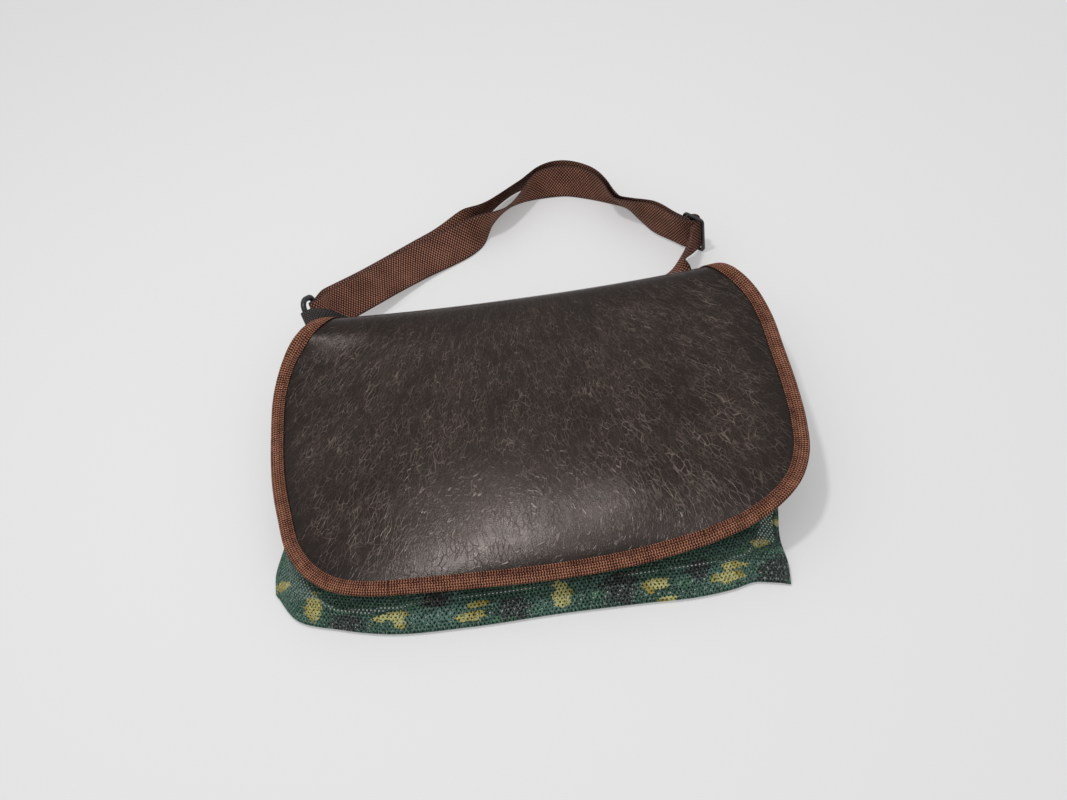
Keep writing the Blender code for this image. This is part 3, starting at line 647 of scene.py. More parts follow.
def make_leather():
    loop = inset(pattern_loop(LEATHER_ACROSS, LEATHER_ALONG), TAPE_THICK + 2 * SEWN_GAP)
    grid = patch(*split_loop(loop, LEATHER_ACROSS, LEATHER_ALONG))
    points = grid.reshape(-1, 2)
    distance = edge_distance(points, pattern_loop(*EDGE_STEPS))
    relief = sheet_relief(points, distance)
    top = place_on_sheet(points, relief + LEATHER_THICK / 2)
    under = place_on_sheet(points, relief - LEATHER_THICK / 2)
    places, faces = closed_wall(top, under, grid_faces(*grid.shape[:2]))
    inner = CREASE_LEAST + (1 - CREASE_LEAST) * clamp((distance - TAPE_LEG) / CREASE_REACH)
    inner *= 1.0 - CREST_SMOOTH * np.exp(-((points[:, 1] - CREST_TOP) / CREST_HALF) ** 2)
    cloth = np.concatenate([points, points])
    return add_piece("leather_sheet", places, faces, leatherette, cloth, {"inner": np.tile(inner, 2)})


leather = make_leather()
dress(leather, "leatherette", "flap_and_back")

# %% [markdown]
# ## Binding tape
# The tape is a narrow herringbone ribbon, folded in half over the edge and sewn through. The
# section of the folded tape is swept round the whole outline, with a groove where the stitches
# pull it in. The ribs are only two millimetres apart, too fine for the mesh, so the
# material makes them: slanted dashes whose lean turns over from row to row.

# %% Tape material
TAPE_DEEP = (0.026, 0.0055, 0.003)
TAPE_PALE = (0.62, 0.27, 0.16)
RIB_PITCH = 0.0019
RIB_SLANT = 0.4
RIB_ROW = 0.0019
RIB_DEPTH = 0.00022
ROW_SHARE = -0.6
SUNK_SHADE = -0.7
TAPE_FIBRE = (1300.0, 2.0, 0.25, 0.75, -1.0, 1.0)
TAPE_WEAR = (120.0, 3.0, 0.3, 0.7, -0.4, 0.4)
TAPE_RANGE = (-0.5, 1.8)
TAPE_ROUGHNESS = 0.85
CLOTH_SHINE = 0.2


def tape_face(tree):
    cloth = cloth_place(tree)
    along_it, across = split(tree, cloth)
    lean = times(tree, calculate(tree, "PINGPONG", across, RIB_ROW), RIB_SLANT)
    ribs = wave(tree, plus(tree, along_it, lean), RIB_PITCH)
    weave = plus(tree, ribs, times(tree, wave(tree, across, RIB_ROW), ROW_SHARE))
    shade = plus(tree, plus(tree, weave, mottle(tree, cloth, *TAPE_FIBRE)), mottle(tree, cloth, *TAPE_WEAR))
    # Painted shade: the tape is painted darker where it is drawn in at the stitch groove and the hem
    lit = plus(tree, shade, times(tree, mark(tree, "sunk"), SUNK_SHADE))
    colour = blend(tree, remap(tree, lit, *TAPE_RANGE), TAPE_DEEP, TAPE_PALE)
    return principled(colour, TAPE_ROUGHNESS, bump(tree, shade, RIB_DEPTH), CLOTH_SHINE)


tape_cloth = new_material("binding_tape", tape_face)

# %% Sweep the tape round the edge
TAPE_ACROSS = 400
TAPE_SIDE = 1040
TAPE_GROOVE = 0.008
GROOVE_HALF = 0.001
GROOVE_DEEP = 0.00032
HEM_ROLL = 0.0012
TAPE_COLUMNS = 12
TAPE_TURN = 60.0
TAPE_TURN_STEPS = 5


def tape_section():
    """Folded tape as depth from the edge, height over the sheet's middle, way round it."""
    outer = LEATHER_THICK / 2 + SEWN_GAP + TAPE_THICK
    inner = outer - TAPE_THICK
    legs = np.linspace(TAPE_LEG, outer, TAPE_COLUMNS)
    rows = [(depth, outer) for depth in legs]
    for turn in np.radians(np.linspace(TAPE_TURN, -TAPE_TURN, TAPE_TURN_STEPS)):
        rows.append((outer - outer * math.cos(turn), outer * math.sin(turn)))
    rows += [(depth, -outer) for depth in legs[::-1]]
    rows += [(TAPE_LEG, -inner), (TAPE_THICK + SEWN_GAP, -inner),
             (TAPE_THICK + SEWN_GAP, inner), (TAPE_LEG, inner)]
    section = np.array(rows)
    way = running_length(np.column_stack([section, np.zeros(len(section))]))
    return np.column_stack([section, way])


def tape_sink(depth, height):
    """How far the tape is drawn in at its stitches and hem, from 0 to 1."""
    if abs(height) < LEATHER_THICK / 2 + TAPE_THICK:
        return 0.0
    groove = math.exp(-((depth - TAPE_GROOVE) / GROOVE_HALF) ** 2)
    hem = max(0.0, 1.0 - (TAPE_LEG - depth) / HEM_ROLL)
    return max(groove, hem)


def make_tape():
    loop = pattern_loop(TAPE_ACROSS, TAPE_SIDE)
    run = running_length(loop)
    section = tape_section()
    sunk = [tape_sink(depth, height) for depth, height, _ in section]
    rows = [place_on_sheet(inset(loop, depth), height - np.sign(height) * sink * GROOVE_DEEP)
            for (depth, height, _), sink in zip(section, sunk)]
    points = np.stack(rows, axis=1).reshape(-1, 3)
    faces = tube_faces(len(loop), len(section), closed=True)
    cloth = mesh_grid(run[:, None], section[None, :, 2])
    marks = {"sunk": np.tile(sunk, len(loop))}
    return add_piece("edge_binding", points, faces, tape_cloth, cloth, marks), run[-1]


binding, binding_length = make_tape()
dress(binding, "binding_tape", "binding")
print("binding length", round(binding_length, 3), "m")

# %% [markdown]
# ## Stitches
# A lockstitch shows as short thread humps that dive into the cloth at both ends. Each stitch
# here is a small bent tube, and a whole seam is one joined mesh. The helper takes the middle
# of each stitch, the way it runs and the way out of the cloth.

# %% Sew the binding
STITCH_LONG = 0.0026
STITCH_PITCH = 0.0034
THREAD_RADIUS = 0.00026
STITCH_SIDES = 5
STITCH_STATIONS = 5
THREAD_DARK = (0.155, 0.05, 0.026)
THREAD_PALE = (0.279, 0.09, 0.0468)
THREAD_RISE = 0.5
THREAD_DIP = 1.3
THREAD_TAPER = 0.55
TWIST_SCALE = 2200.0
TWIST_SPAN = (0.35, 0.65)
THREAD_ROUGHNESS = 0.6
THREAD_SHINE = 0.5
TWIST_DEPTH = 0.00005
SEAM_STEP = 0.0004


def thread_face(tree):
    place = node(tree, "ShaderNodeTexCoord", {}, "Object")
    twist = noise(tree, place, TWIST_SCALE, 2.0)
    colour = blend(tree, remap(tree, twist, *TWIST_SPAN), THREAD_DARK, THREAD_PALE)
    return principled(colour, THREAD_ROUGHNESS, bump(tree, twist, TWIST_DEPTH), THREAD_SHINE)


def sew(name, middles, ahead, out, thread):
    """Stitches at the given places, each a bent tube whose ends dip into the cloth."""
    t = np.linspace(-1.0, 1.0, STITCH_STATIONS)[None, :, None]
    dip = THREAD_RADIUS * (THREAD_RISE - THREAD_DIP * t**4)
    swell = THREAD_RADIUS * (1.0 - THREAD_TAPER * t**4)
    angle = (2 * math.pi * np.arange(STITCH_SIDES) / STITCH_SIDES)[None, :, None]
    side = np.cross(ahead, out)
    centre = middles[:, None] + ahead[:, None] * t * STITCH_LONG / 2 + out[:, None] * dip
    ring = side[:, None] * np.cos(angle) + out[:, None] * np.sin(angle)
    points = centre[:, :, None] + ring[:, None] * swell[..., None]
    each = STITCH_STATIONS * STITCH_SIDES
    starts = np.arange(len(middles)) * each
    one = tube_faces(STITCH_STATIONS, STITCH_SIDES, closed=False)
    faces = (one[None] + starts[:, None, None]).reshape(-1, 4)
    first = np.arange(STITCH_SIDES)
    caps = np.stack([starts[:, None] + first[::-1], starts[:, None] + each - STITCH_SIDES + first], axis=1)
    caps = caps.reshape(-1, STITCH_SIDES).tolist()
    return add_piece(name, points.reshape(-1, 3), faces, thread, caps=caps)


def seam_on_sheet(depth, height):
    """Middles, ways ahead and ways out of stitches that follow the sheet's edge."""
    loop = inset(pattern_loop(TAPE_ACROSS, TAPE_SIDE), depth)
    closed = np.concatenate([loop, loop[:1]])
    run = running_length(closed)
    count = int(run[-1] / STITCH_PITCH)
    at = (np.arange(count) + 0.5) * run[-1] / count

    def spot(shift, lift):
        flat = np.column_stack([np.interp((at + shift) % run[-1], run, closed[:, k]) for k in (0, 1)])
        return place_on_sheet(flat, height + lift)

    out = unit(spot(0.0, math.copysign(SEAM_STEP, height)) - spot(0.0, 0.0))
    ahead = spot(SEAM_STEP, 0.0) - spot(-SEAM_STEP, 0.0)
    return spot(0.0, 0.0), unit(ahead - out * np.sum(ahead * out, axis=1, keepdims=True)), out


rust_thread = new_material("rust_thread", thread_face)
tape_top = LEATHER_THICK / 2 + SEWN_GAP + TAPE_THICK - GROOVE_DEEP
seams = [sew("binding_seam_" + side, *seam_on_sheet(TAPE_GROOVE, height), rust_thread)
         for side, height in (("upper", tape_top), ("lower", -tape_top))]
for seam in seams:
    dress(seam, "binding_tape")

# %% [markdown]
# ## Form of the net pouch
# The pouch is a low pillow of net. Its outline on the table is a patch between four edges,
# and a crown table gives its height by distance from the bottom fold, where the net turns
# under the bag. Ripples stand along the fold, where the cloth is a little too long.

# %% Tables of the pouch
NET_BOTTOM = metres([
    (-203.7, -124.5), (-188.8, -149), (-159.4, -161.2), (-128.4, -169.8), (-69.5, -173.5),
    (-7.3, -172.6), (50, -173.5), (88, -174.5), (112.7, -172), (127.5, -168.8), (138, -170.8),
    (150.5, -174),
])
NET_MOUTH = metres([(-150, 60), (-70, 64), (0, 65), (70, 64), (148, 60)])
NET_LEFT = metres([
    (-203.7, -124.5), (-203, -112), (-196, -85), (-187, -40), (-180, 0), (-168, 36), (-150, 60),
])
NET_RIGHT = metres([
    (150.5, -174), (152, -160), (151.5, -140), (157, -110), (164, -60), (166, 0), (161, 36), (148, 60),
])
NET_CROWN = metres([
    # distance from the bottom fold, height over the table
    (0, 2.6), (6, 6.2), (15, 10.5), (30, 17.5), (55, 28), (80, 36), (115, 42.5), (170, 48), (210, 49),
    (240, 47),
])
NET_FOLDS = metres([
    # x, half width, height of each ripple
    (-172, 12, 2), (-120, 14, -1.6), (-85, 12, 1.4), (-30, 16, -1.2), (30, 14, 1.4), (78, 12, -1.6),
    (112, 10, 1.8), (134, 8, -1.6),
])
NET_FOLD_REACH = 0.055
NET_FOLD_START = 0.012
NET_POWER = 3.6
NET_RIM = 0.0054
NET_RIM_LOW = 0.0026
NET_RIM_BLEND = 0.014
NET_RETURN_SHARES = (0.0, 0.2, 0.4, 0.6, 0.8, 1.0)
NET_UNDER = 0.0008
NET_NOSE = 0.0008
NET_RETURN_LEAST = 0.004
SEAM_GAP = 0.0008
CORNER_GAP = 0.003
SEAM_STRAIGHT = 0.13
BACK_CORNER_RUN = -0.238
NET_ROWS = 130
NET_COLUMNS = 170
SEAM_POWER = 6
NET_FOLD_POWER = 8


# %% Shape the pouch
def net_height(grid, fold_distance):
    """Height of the pouch's net: a low pillow whose rim lies on the back wall."""
    rows, columns = grid.shape[:2]
    side = np.abs(np.linspace(-1.0, 1.0, columns))[None, :]
    crown = smooth_table(NET_CROWN, fold_distance.ravel()).reshape(rows, columns)
    rim_share = clamp(fold_distance / NET_RIM_BLEND)
    rim = NET_RIM_LOW + (NET_RIM - NET_RIM_LOW) * rim_share
    height = rim + np.maximum(crown - rim, 0.0) * (1 - side**NET_POWER)
    fade = clamp(1 - fold_distance / NET_FOLD_REACH)
    fade *= clamp(fold_distance / NET_FOLD_START)
    for x, half_width, depth in NET_FOLDS:
        height += depth * np.exp(-((grid[..., 0] - x) / half_width) ** 2) * fade * (1 - side**NET_FOLD_POWER)
    return height


def net_surface():
    """Grid of the net's middle: from its seam under the bag, round the fold, up to the mouth."""
    left, right = along(NET_LEFT, NET_ROWS + 1), along(NET_RIGHT, NET_ROWS + 1)
    bottom, mouth = along(NET_BOTTOM, NET_COLUMNS + 1), along(NET_MOUTH, NET_COLUMNS + 1)
    grid = patch(bottom, mouth, left, right)
    height = net_height(grid, grid[..., 1] - grid[:1, :, 1])
    front = np.dstack([grid[..., 0], grid[..., 1] + SHEAR * grid[..., 0], height])
    edge = OUTLINE[OUTLINE[:, 1] < BACK_CORNER_RUN]
    edge = edge[np.argsort(edge[:, 0])]
    edge_y = smooth_table(SHEET_PROFILE, edge[:, 1])[:, 0]
    seam = np.interp(grid[0, :, 0], edge[:, 0], edge_y) - SEAM_GAP
    seam -= CORNER_GAP * np.minimum(np.abs(grid[0, :, 0]) / SEAM_STRAIGHT, 1.0) ** SEAM_POWER
    reach = np.maximum(seam - grid[0, :, 1], NET_RETURN_LEAST)
    turned = []
    for share in NET_RETURN_SHARES[::-1]:
        row = front[0].copy()
        row[:, 1] += NET_NOSE + share * (reach - NET_NOSE)
        row[:, 2] = NET_UNDER
        turned.append(row)
    return np.concatenate([np.array(turned), front])


NET_SURFACE = net_surface()
steps_up = np.linalg.norm(np.diff(NET_SURFACE, axis=0), axis=2).mean(axis=1)
steps_across = np.linalg.norm(np.diff(NET_SURFACE, axis=1), axis=2)[len(NET_RETURN_SHARES):].mean(axis=0)
NET_UP_AT = np.concatenate([[0.0], np.cumsum(steps_up)])
NET_ACROSS_AT = np.concatenate([[0.0], np.cumsum(steps_across)])
NET_FOLD_AT = NET_UP_AT[len(NET_RETURN_SHARES)]
print("net cloth", round(NET_ACROSS_AT[-1], 3), "by", round(NET_UP_AT[-1], 3), "m")

# %% [markdown]
# ## Knit the net
# The net is knitted with real holes, small upright ovals in offset rows, and light falls
# through them where the pouch is thin. Bricks of a honeycomb tile the cloth without gaps.
# Each brick gets a ring of six faces round an oval hole, neighbours share their corners, and
# the closed wall helper then rims every hole. The honeycomb is laid out flat in metres and
# bent onto the pouch afterwards, as real cloth is. Under the bag and under the flap, where
# it is hardly seen, the bricks are larger, to keep the mesh light.

# %% Honeycomb of holes
NET_THREAD = 0.0005
# Pitch across, height of a row, half width and half height of a hole
FINE_HOLES = (0.0027, 0.0021, 0.0006, 0.00076)
COARSE_HOLES = (0.004, 0.003, 0.00072, 0.00095)
NET_EDGE = 0.0018
NET_STEP = 0.0006
CORNERS = 6


def on_grid(grid, up_at, across_at, u, v):
    """Places on a grid of points at cloth coordinates: u across it and v up it, in metres."""
    j = np.clip(np.searchsorted(across_at, u) - 1, 0, len(across_at) - 2)
    i = np.clip(np.searchsorted(up_at, v) - 1, 0, len(up_at) - 2)
    a = ((u - across_at[j]) / (across_at[j + 1] - across_at[j]))[:, None]
    b = ((v - up_at[i]) / (up_at[i + 1] - up_at[i]))[:, None]
    low = grid[i, j] * (1 - a) + grid[i, j + 1] * a
    high = grid[i + 1, j] * (1 - a) + grid[i + 1, j + 1] * a
    return low * (1 - b) + high * b


def place_on_net(cloth, height):
    """Places at a height over the net's middle surface, outward positive."""
    def at(x, y):
        return on_grid(NET_SURFACE, NET_UP_AT, NET_ACROSS_AT, x, y)

    u, v = cloth.T
    return at(u, v) + normals(at, u, v, NET_STEP) * height


def honeycomb(low, rows, pitch, row_tall, half_wide, half_tall):
    """Cloth points and faces of rows of bricks from a height up, each with a hole left open."""
    columns = int((NET_ACROSS_AT[-1] - 2 * NET_EDGE) / pitch)
    corner = np.radians(90.0 + 60.0 * np.arange(CORNERS))
    brick = np.column_stack([np.cos(corner) * pitch / math.sqrt(3), np.sin(corner) * row_tall / 1.5])
    hole = np.column_stack([np.cos(corner) * half_wide, np.sin(corner) * half_tall])
    margin = (NET_ACROSS_AT[-1] - columns * pitch) / 2
    points = []
    for row in range(rows):
        odd = row % 2
        across = margin + (np.arange(columns - odd) + 0.5 + 0.5 * odd) * pitch
        centre = np.column_stack([across, np.full(len(across), low + (row + 2 / 3) * row_tall)])
        points.append(centre[:, None] + np.concatenate([brick, hole])[None])
    points = np.concatenate(points)
    number = np.arange(len(points))[:, None] * 2 * CORNERS
    k = np.arange(CORNERS)
    n = (k + 1) % CORNERS
    ring = [number + k, number + n, number + CORNERS + n, number + CORNERS + k]
    flat = points.reshape(-1, 2)
    _, first, shared = np.unique(np.round(flat, 6), axis=0, return_index=True, return_inverse=True)
    return flat[first], shared.ravel()[quads(*ring)]


# %% [markdown]
# ## Camouflage print
# The print is an ordinary woodland camouflage: teal green cloth with charcoal clouds, short
# light green dashes and ragged mustard flecks. Dashes come from noise, stretched along the
# rows. The flecks and the dark clouds are large and few, so short tables place them, and
# noise breaks up their edges.

# %% Camouflage material
CAMO_GREEN = (0.022, 0.07, 0.045)
CAMO_TEAL = (0.075, 0.16, 0.125)
CAMO_CHARCOAL = (0.03, 0.036, 0.034)
CAMO_LEAF = (0.07, 0.19, 0.095)
CAMO_MUSTARD = (0.31, 0.25, 0.04)
CAMO_PALE = (0.56, 0.53, 0.2)
THREAD_GLINT = (0.23, 0.31, 0.27)
THREAD_SHADE = (0.004, 0.008, 0.006)
DASH_STRETCH = (0.38, 1.0, 1.0)
KNIT_STRETCH = (1.0, 0.45, 1.0)
RAGGED = (300.0, 3.0, 0.25, 0.75, -0.5, 0.5)
TEAL_PATCHES = (45.0, 3.0, 0.35, 0.65)
DASHES = (130.0, 3.0, 0.6, 0.66)
DASH_SHARE = 0.7
PALE_PATCHES = (70.0, 3.0, 0.4, 0.6)
CLOUD_EDGE = (0.3, 0.7)
FLECK_EDGE = (0.44, 0.6)
KNIT_SCALE = 900.0
NET_ROUGHNESS = 0.75
NET_SHINE = 0.35
KNIT_DEPTH = 0.0003
SHADE_SPAN = (0.5, 0.34, 0.0, 0.85)
GLINT_SPAN = (0.55, 0.68, 0.0, 0.75)


def camo_print(tree, cloth, dashed):
    """Colour of the print: green, then leaf dashes, charcoal clouds and mustard flecks over it."""
    ragged = mottle(tree, dashed, *RAGGED)
    green = blend(tree, mottle(tree, dashed, *TEAL_PATCHES), CAMO_GREEN, CAMO_TEAL)
    leafy = blend(tree, times(tree, mottle(tree, dashed, *DASHES), DASH_SHARE), green, CAMO_LEAF)
    cloud = remap(tree, plus(tree, mark(tree, "cloud"), ragged), *CLOUD_EDGE)
    fleck = remap(tree, plus(tree, mark(tree, "fleck"), ragged), *FLECK_EDGE)
    mustard = blend(tree, mottle(tree, cloth, *PALE_PATCHES), CAMO_MUSTARD, CAMO_PALE)
    return blend(tree, fleck, blend(tree, cloud, leafy, CAMO_CHARCOAL), mustard)


def net_face(tree):
    cloth = cloth_place(tree)
    dashed, knit = [node(tree, "ShaderNodeMapping", {"Vector": cloth, "Scale": scale})
                    for scale in (DASH_STRETCH, KNIT_STRETCH)]
    loops = noise(tree, knit, KNIT_SCALE, 2.0)
    colour = camo_print(tree, cloth, dashed)
    shaded = blend(tree, remap(tree, loops, *SHADE_SPAN), colour, THREAD_SHADE)
    glinting = blend(tree, remap(tree, loops, *GLINT_SPAN), shaded, THREAD_GLINT)
    return principled(glinting, NET_ROUGHNESS, bump(tree, loops, KNIT_DEPTH), NET_SHINE)


camo_net = new_material("camo_net", net_face)

# %% Cut and bend the net
FLECKS = metres([
    # x, y, half length, half height
    (-198.2, -111.9, 5, 4), (-176.3, -136.1, 6.2, 9), (-123.2, -154.5, 14, 2.6), (-117, -160, 4.5, 4),
    (-62.5, -158.4, 8.5, 2), (-68.3, -164.5, 11.5, 2.8), (-3.5, -161.5, 7, 7.5), (59.1, -166.5, 10, 4),
    (66.4, -176.5, 7.8, 2), (109.1, -169.6, 11.5, 3.6), (115.5, -162.6, 9, 2.6),
    (137.1, -147.4, 6.4, 3.4), (153, -132.2, 4, 3.5),
])
CLOUDS = metres([
    (-155.1, -154, 12, 8), (-90, -150, 11, 7), (-37.7, -164, 12, 7), (36.5, -164, 13, 11),
    (90, -162.3, 8, 6.5), (145, -170, 15, 11), (156, -145, 6, 12),
])
SPOT_REACH = 1.5
FRONT_SHOWN = 0.06
NET_TOP_MARGIN = 0.0045


def spot_share(places, spots):
    """1 in the middle of a printed spot, falling to 0 a little past its size."""
    share = np.zeros(len(places))
    for x, y, long, tall in spots:
        away = np.sqrt(((places[:, 0] - x) / long) ** 2 + ((places[:, 1] - y) / tall) ** 2)
        share = np.maximum(share, clamp(SPOT_REACH - away))
    return share


def net_wall(name, cloth, faces, thick):
    """A stretch of the pouch's cloth with two sides, its print marked at its points."""
    places, faces = closed_wall(place_on_net(cloth, thick / 2), place_on_net(cloth, -thick / 2), faces)
    marks = {"fleck": spot_share(places, FLECKS), "cloud": spot_share(places, CLOUDS)}
    return add_piece(name, places, faces, camo_net, np.concatenate([cloth, cloth]), marks)


under_rows = int((NET_FOLD_AT - NET_EDGE) / COARSE_HOLES[1])
fold_line = NET_EDGE + under_rows * COARSE_HOLES[1]
front_rows = int(FRONT_SHOWN / FINE_HOLES[1])
front_line = fold_line + front_rows * FINE_HOLES[1]
upper_rows = int((NET_UP_AT[-1] - NET_TOP_MARGIN - front_line) / COARSE_HOLES[1])
net_under = net_wall("net_under", *honeycomb(NET_EDGE, under_rows, *COARSE_HOLES), NET_THREAD)
net_front = net_wall("net_front", *honeycomb(fold_line, front_rows, *FINE_HOLES), NET_THREAD)
net_upper = net_wall("net_upper", *honeycomb(front_line, upper_rows, *COARSE_HOLES), NET_THREAD)
print("net turns at", round(NET_FOLD_AT, 4), "m, rows", under_rows, front_rows, upper_rows)

# %% Hem the net
HEM_WIDE = 0.004
HEM_THICK = 0.001
HEM_STATIONS = 220
HEM_COLUMNS = 4
SEAM_LAP = 0.0003


def net_hem(name, corner, along_it, inward):
    """A narrow folded hem on the net's edge, from a corner along the edge, in cloth metres."""
    a = np.linspace(0.0, 1.0, HEM_STATIONS)[:, None, None]
    b = np.linspace(0.0, 1.0, HEM_COLUMNS)[None, :, None]
    cloth = (np.array(corner) + a * np.array(along_it) + b * np.array(inward)).reshape(-1, 2)
    return net_wall(name, cloth, grid_faces(HEM_STATIONS, HEM_COLUMNS), HEM_THICK)


tall, wide = NET_UP_AT[-1], NET_ACROSS_AT[-1]
between_hems = (wide - 2 * HEM_WIDE, 0.0)
hems = [net_hem("net_hem_left", (0.0, 0.0), (0.0, tall), (HEM_WIDE, 0.0)),
        net_hem("net_hem_right", (wide, 0.0), (0.0, tall), (-HEM_WIDE, 0.0)),
        net_hem("net_hem_seam", (HEM_WIDE, -SEAM_LAP), between_hems, (0.0, HEM_WIDE + SEAM_LAP)),
        net_hem("net_hem_mouth", (HEM_WIDE, tall), between_hems, (0.0, -HEM_WIDE))]
dress(net_front, "camo_net", "net_pouch")
for piece in (net_under, net_upper, *hems):
    dress(piece, "camo_net")

# %% [markdown]
# ## Webbing
# Strap and tabs are flat webbing. Seen close, webbing is a lattice of small raised bricks,
# offset from one thread to the next. The product of two cosines has just this pattern, so it
# serves twice: it raises the mesh, and it paints the raised dots paler and the pits between
# them darker, which is painted highlight and painted shade on the weave. A helper sweeps
# the band along a route with the line of its width given at each point.

# %% Webbing finish and sweep
STRAP_BRICK = (0.00165, 0.0026)
TAB_BRICK = (0.0013, 0.002)
STRAP_DARK = (0.028, 0.0075, 0.0048)
STRAP_PALE = (0.56, 0.255, 0.165)
STRAP_SELVEDGE = (0.035, 0.026, 0.026)
TAB_DARK = (0.03, 0.026, 0.025)
TAB_PALE = (0.17, 0.155, 0.148)
WEBBING_FIBRE = (1300.0, 2.0, 0.25, 0.75, -0.45, 0.45)
WEBBING_WEAR = (45.0, 3.0, 0.3, 0.7, -0.15, 0.15)
WEBBING_RANGE = (-0.1, 1.05)
WEBBING_DEPTH = 0.00022
WEBBING_ROUGHNESS = 0.8
SELVEDGE_SHARE = 0.8
SELVEDGE_AT = 0.46
BAND_ROUND = 14
BAND_EDGE = 0.09
BRICK_SINK = 0.6


def webbing_face(tree, dark, pale, selvedge, brick):
    cloth = cloth_place(tree)
    across, run = split(tree, cloth)
    bricks = times(tree, wave(tree, across, 2 * brick[0]), wave(tree, run, brick[1]))
    lit = plus(tree, bricks, mottle(tree, cloth, *WEBBING_FIBRE))
    # Painted highlight and shade: raised bricks are painted paler and the pits darker; fibre and wear add
    # the cloth's own tone
    share = remap(tree, plus(tree, lit, mottle(tree, cloth, *WEBBING_WEAR)), *WEBBING_RANGE)
    edge = times(tree, mark(tree, "selvedge"), SELVEDGE_SHARE)
    colour = blend(tree, edge, blend(tree, share, dark, pale), selvedge)
    return principled(colour, WEBBING_ROUGHNESS, bump(tree, lit, WEBBING_DEPTH), CLOTH_SHINE)


def band_section(wide, thick, columns):
    """Ring of a band's section as across, face side and half thickness."""
    across = np.linspace(-1.0, 1.0, columns)
    full = np.sqrt(np.maximum(1 - np.abs(across) ** BAND_ROUND, BAND_EDGE))
    over = np.column_stack([across * wide / 2, np.ones(columns), full * thick / 2])
    return np.concatenate([over, over[::-1] * (1.0, -1.0, 1.0)])


def make_band(name, route, widths, wide, thick, brick, relief, material):
    """Webbing swept along a route, with its bricks raised on both faces."""
    rows = np.column_stack([route, widths])
    count = int(running_length(rows)[-1] / (brick[1] / 4))
    rows = along(rows, count)
    place, line = rows[:, :3], unit(rows[:, 3:])
    face = unit(np.cross(np.gradient(place, axis=0), line))
    run = running_length(place)
    x, side, half = band_section(wide, thick, int(round(wide / brick[0])) + 1).T[:, None]
    weave = np.cos(math.pi * (x + wide / 2) / brick[0]) * np.cos(2 * math.pi * run[:, None] / brick[1])
    height = half * side + relief * (weave - BRICK_SINK * side) * (np.abs(x) < SELVEDGE_AT * wide)
    points = place[:, None] + line[:, None] * x[..., None] + face[:, None] * height[..., None]
    ring = list(range(x.size))
    caps = [ring[::-1], [(count - 1) * x.size + k for k in ring]]
    cloth = mesh_grid(x + wide / 2, run[:, None])
    marks = {"selvedge": np.tile(np.abs(x[0]) > SELVEDGE_AT * wide, count)}
    faces = tube_faces(count, x.size, closed=False)
    return add_piece(name, points.reshape(-1, 3), faces, material, cloth, marks, caps), run[-1]


brown_webbing = new_material("brown_webbing", webbing_face,
                             STRAP_DARK, STRAP_PALE, STRAP_SELVEDGE, STRAP_BRICK)
tab_webbing = new_material("tab_webbing", webbing_face, TAB_DARK, TAB_PALE, TAB_DARK, TAB_BRICK)

# %% [markdown]
# ## Rings and slider
# The strap hangs between two plastic D-rings, with a long straight side for the strap and a
# short side for the tab. A round bar is swept round the ring's corners. The slider is a flat
# plate with two slots, drawn as a filled curve with its own rounded edge, which gives the
# slots their soft moulded edges at once.

# %% Places of the hard pieces
RING_BAR = 0.0045
RING_SPACING = 0.016
RING_LONG = 0.0425
RING_STRAP_CORNER = 0.0035
RING_TAB_CORNER = 0.008
# Middle of a ring, the line of its bars, the line across them
LEFT_RING = ((-0.1617, 0.1209, 0.0352), (-0.22, 0.6, 0.77), (-0.4, -0.74, 0.46))
RIGHT_RING = ((0.129, 0.106, 0.0125), (0.985, -0.07, 0.1), (0.0, -0.87, 0.49))
SLIDER_AT = (0.1565, 0.166, 0.0178)
SLIDER_HEADING = (0.66, -0.75)
SLIDER_SPACING = 0.009
SLIDER_BAR = 0.003
SLIDER_DEEP = 0.0026
SLIDER_TALL = 0.035
SLIDER_RAIL = 0.002
SLIDER_CORNER = 0.004
UP = np.array([0.0, 0.0, 1.0])


# %% Black plastic
PLASTIC_DARK = (0.012, 0.0125, 0.014)
PLASTIC_WORN = (0.04, 0.042, 0.046)
SCUFFS = (260.0, 5.0, 0.52, 0.75)
SCUFF_ROUGHNESS = (0.0, 1.0, 0.34, 0.55)
MOULD_SCALE = 900.0
PLASTIC_SHINE = 0.5
MOULD_DEPTH = 0.00006


def plastic_face(tree):
    place = node(tree, "ShaderNodeTexCoord", {}, "Object")
    scuffs = mottle(tree, place, *SCUFFS)
    grain = bump(tree, noise(tree, place, MOULD_SCALE, 2.0), MOULD_DEPTH)
    colour = blend(tree, scuffs, PLASTIC_DARK, PLASTIC_WORN)
    return principled(colour, remap(tree, scuffs, *SCUFF_ROUGHNESS), grain, PLASTIC_SHINE)


black_plastic = new_material("black_plastic", plastic_face)

# %% Sweep the rings
RING_CORNER_STEPS = 14
RING_SIDES = 24
# Side across, side along, angle in degrees where the corner's turn starts
BOX_CORNERS = ((1, 1, 0.0), (-1, 1, 90.0), (-1, -1, 180.0), (1, -1, 270.0))


def round_box(wide, tall, radii, steps):
    """Outline of a box with round corners: place and direction at each point."""
    path = []
    for (side, end, start), radius in zip(BOX_CORNERS, radii):
        for turn in np.radians(np.linspace(start, start + 90.0, steps)):
            path.append((side * (wide / 2 - radius) + radius * math.cos(turn),
                         end * (tall / 2 - radius) + radius * math.sin(turn),
                         -math.sin(turn), math.cos(turn)))
    return np.array(path)


def ring_axes(bars, across):
    """Square set of lines for a ring: along its bars, across them, out of its face."""
    bars = unit(bars)
    across = unit(across - bars * np.dot(bars, across))
    return bars, across, np.cross(bars, across)


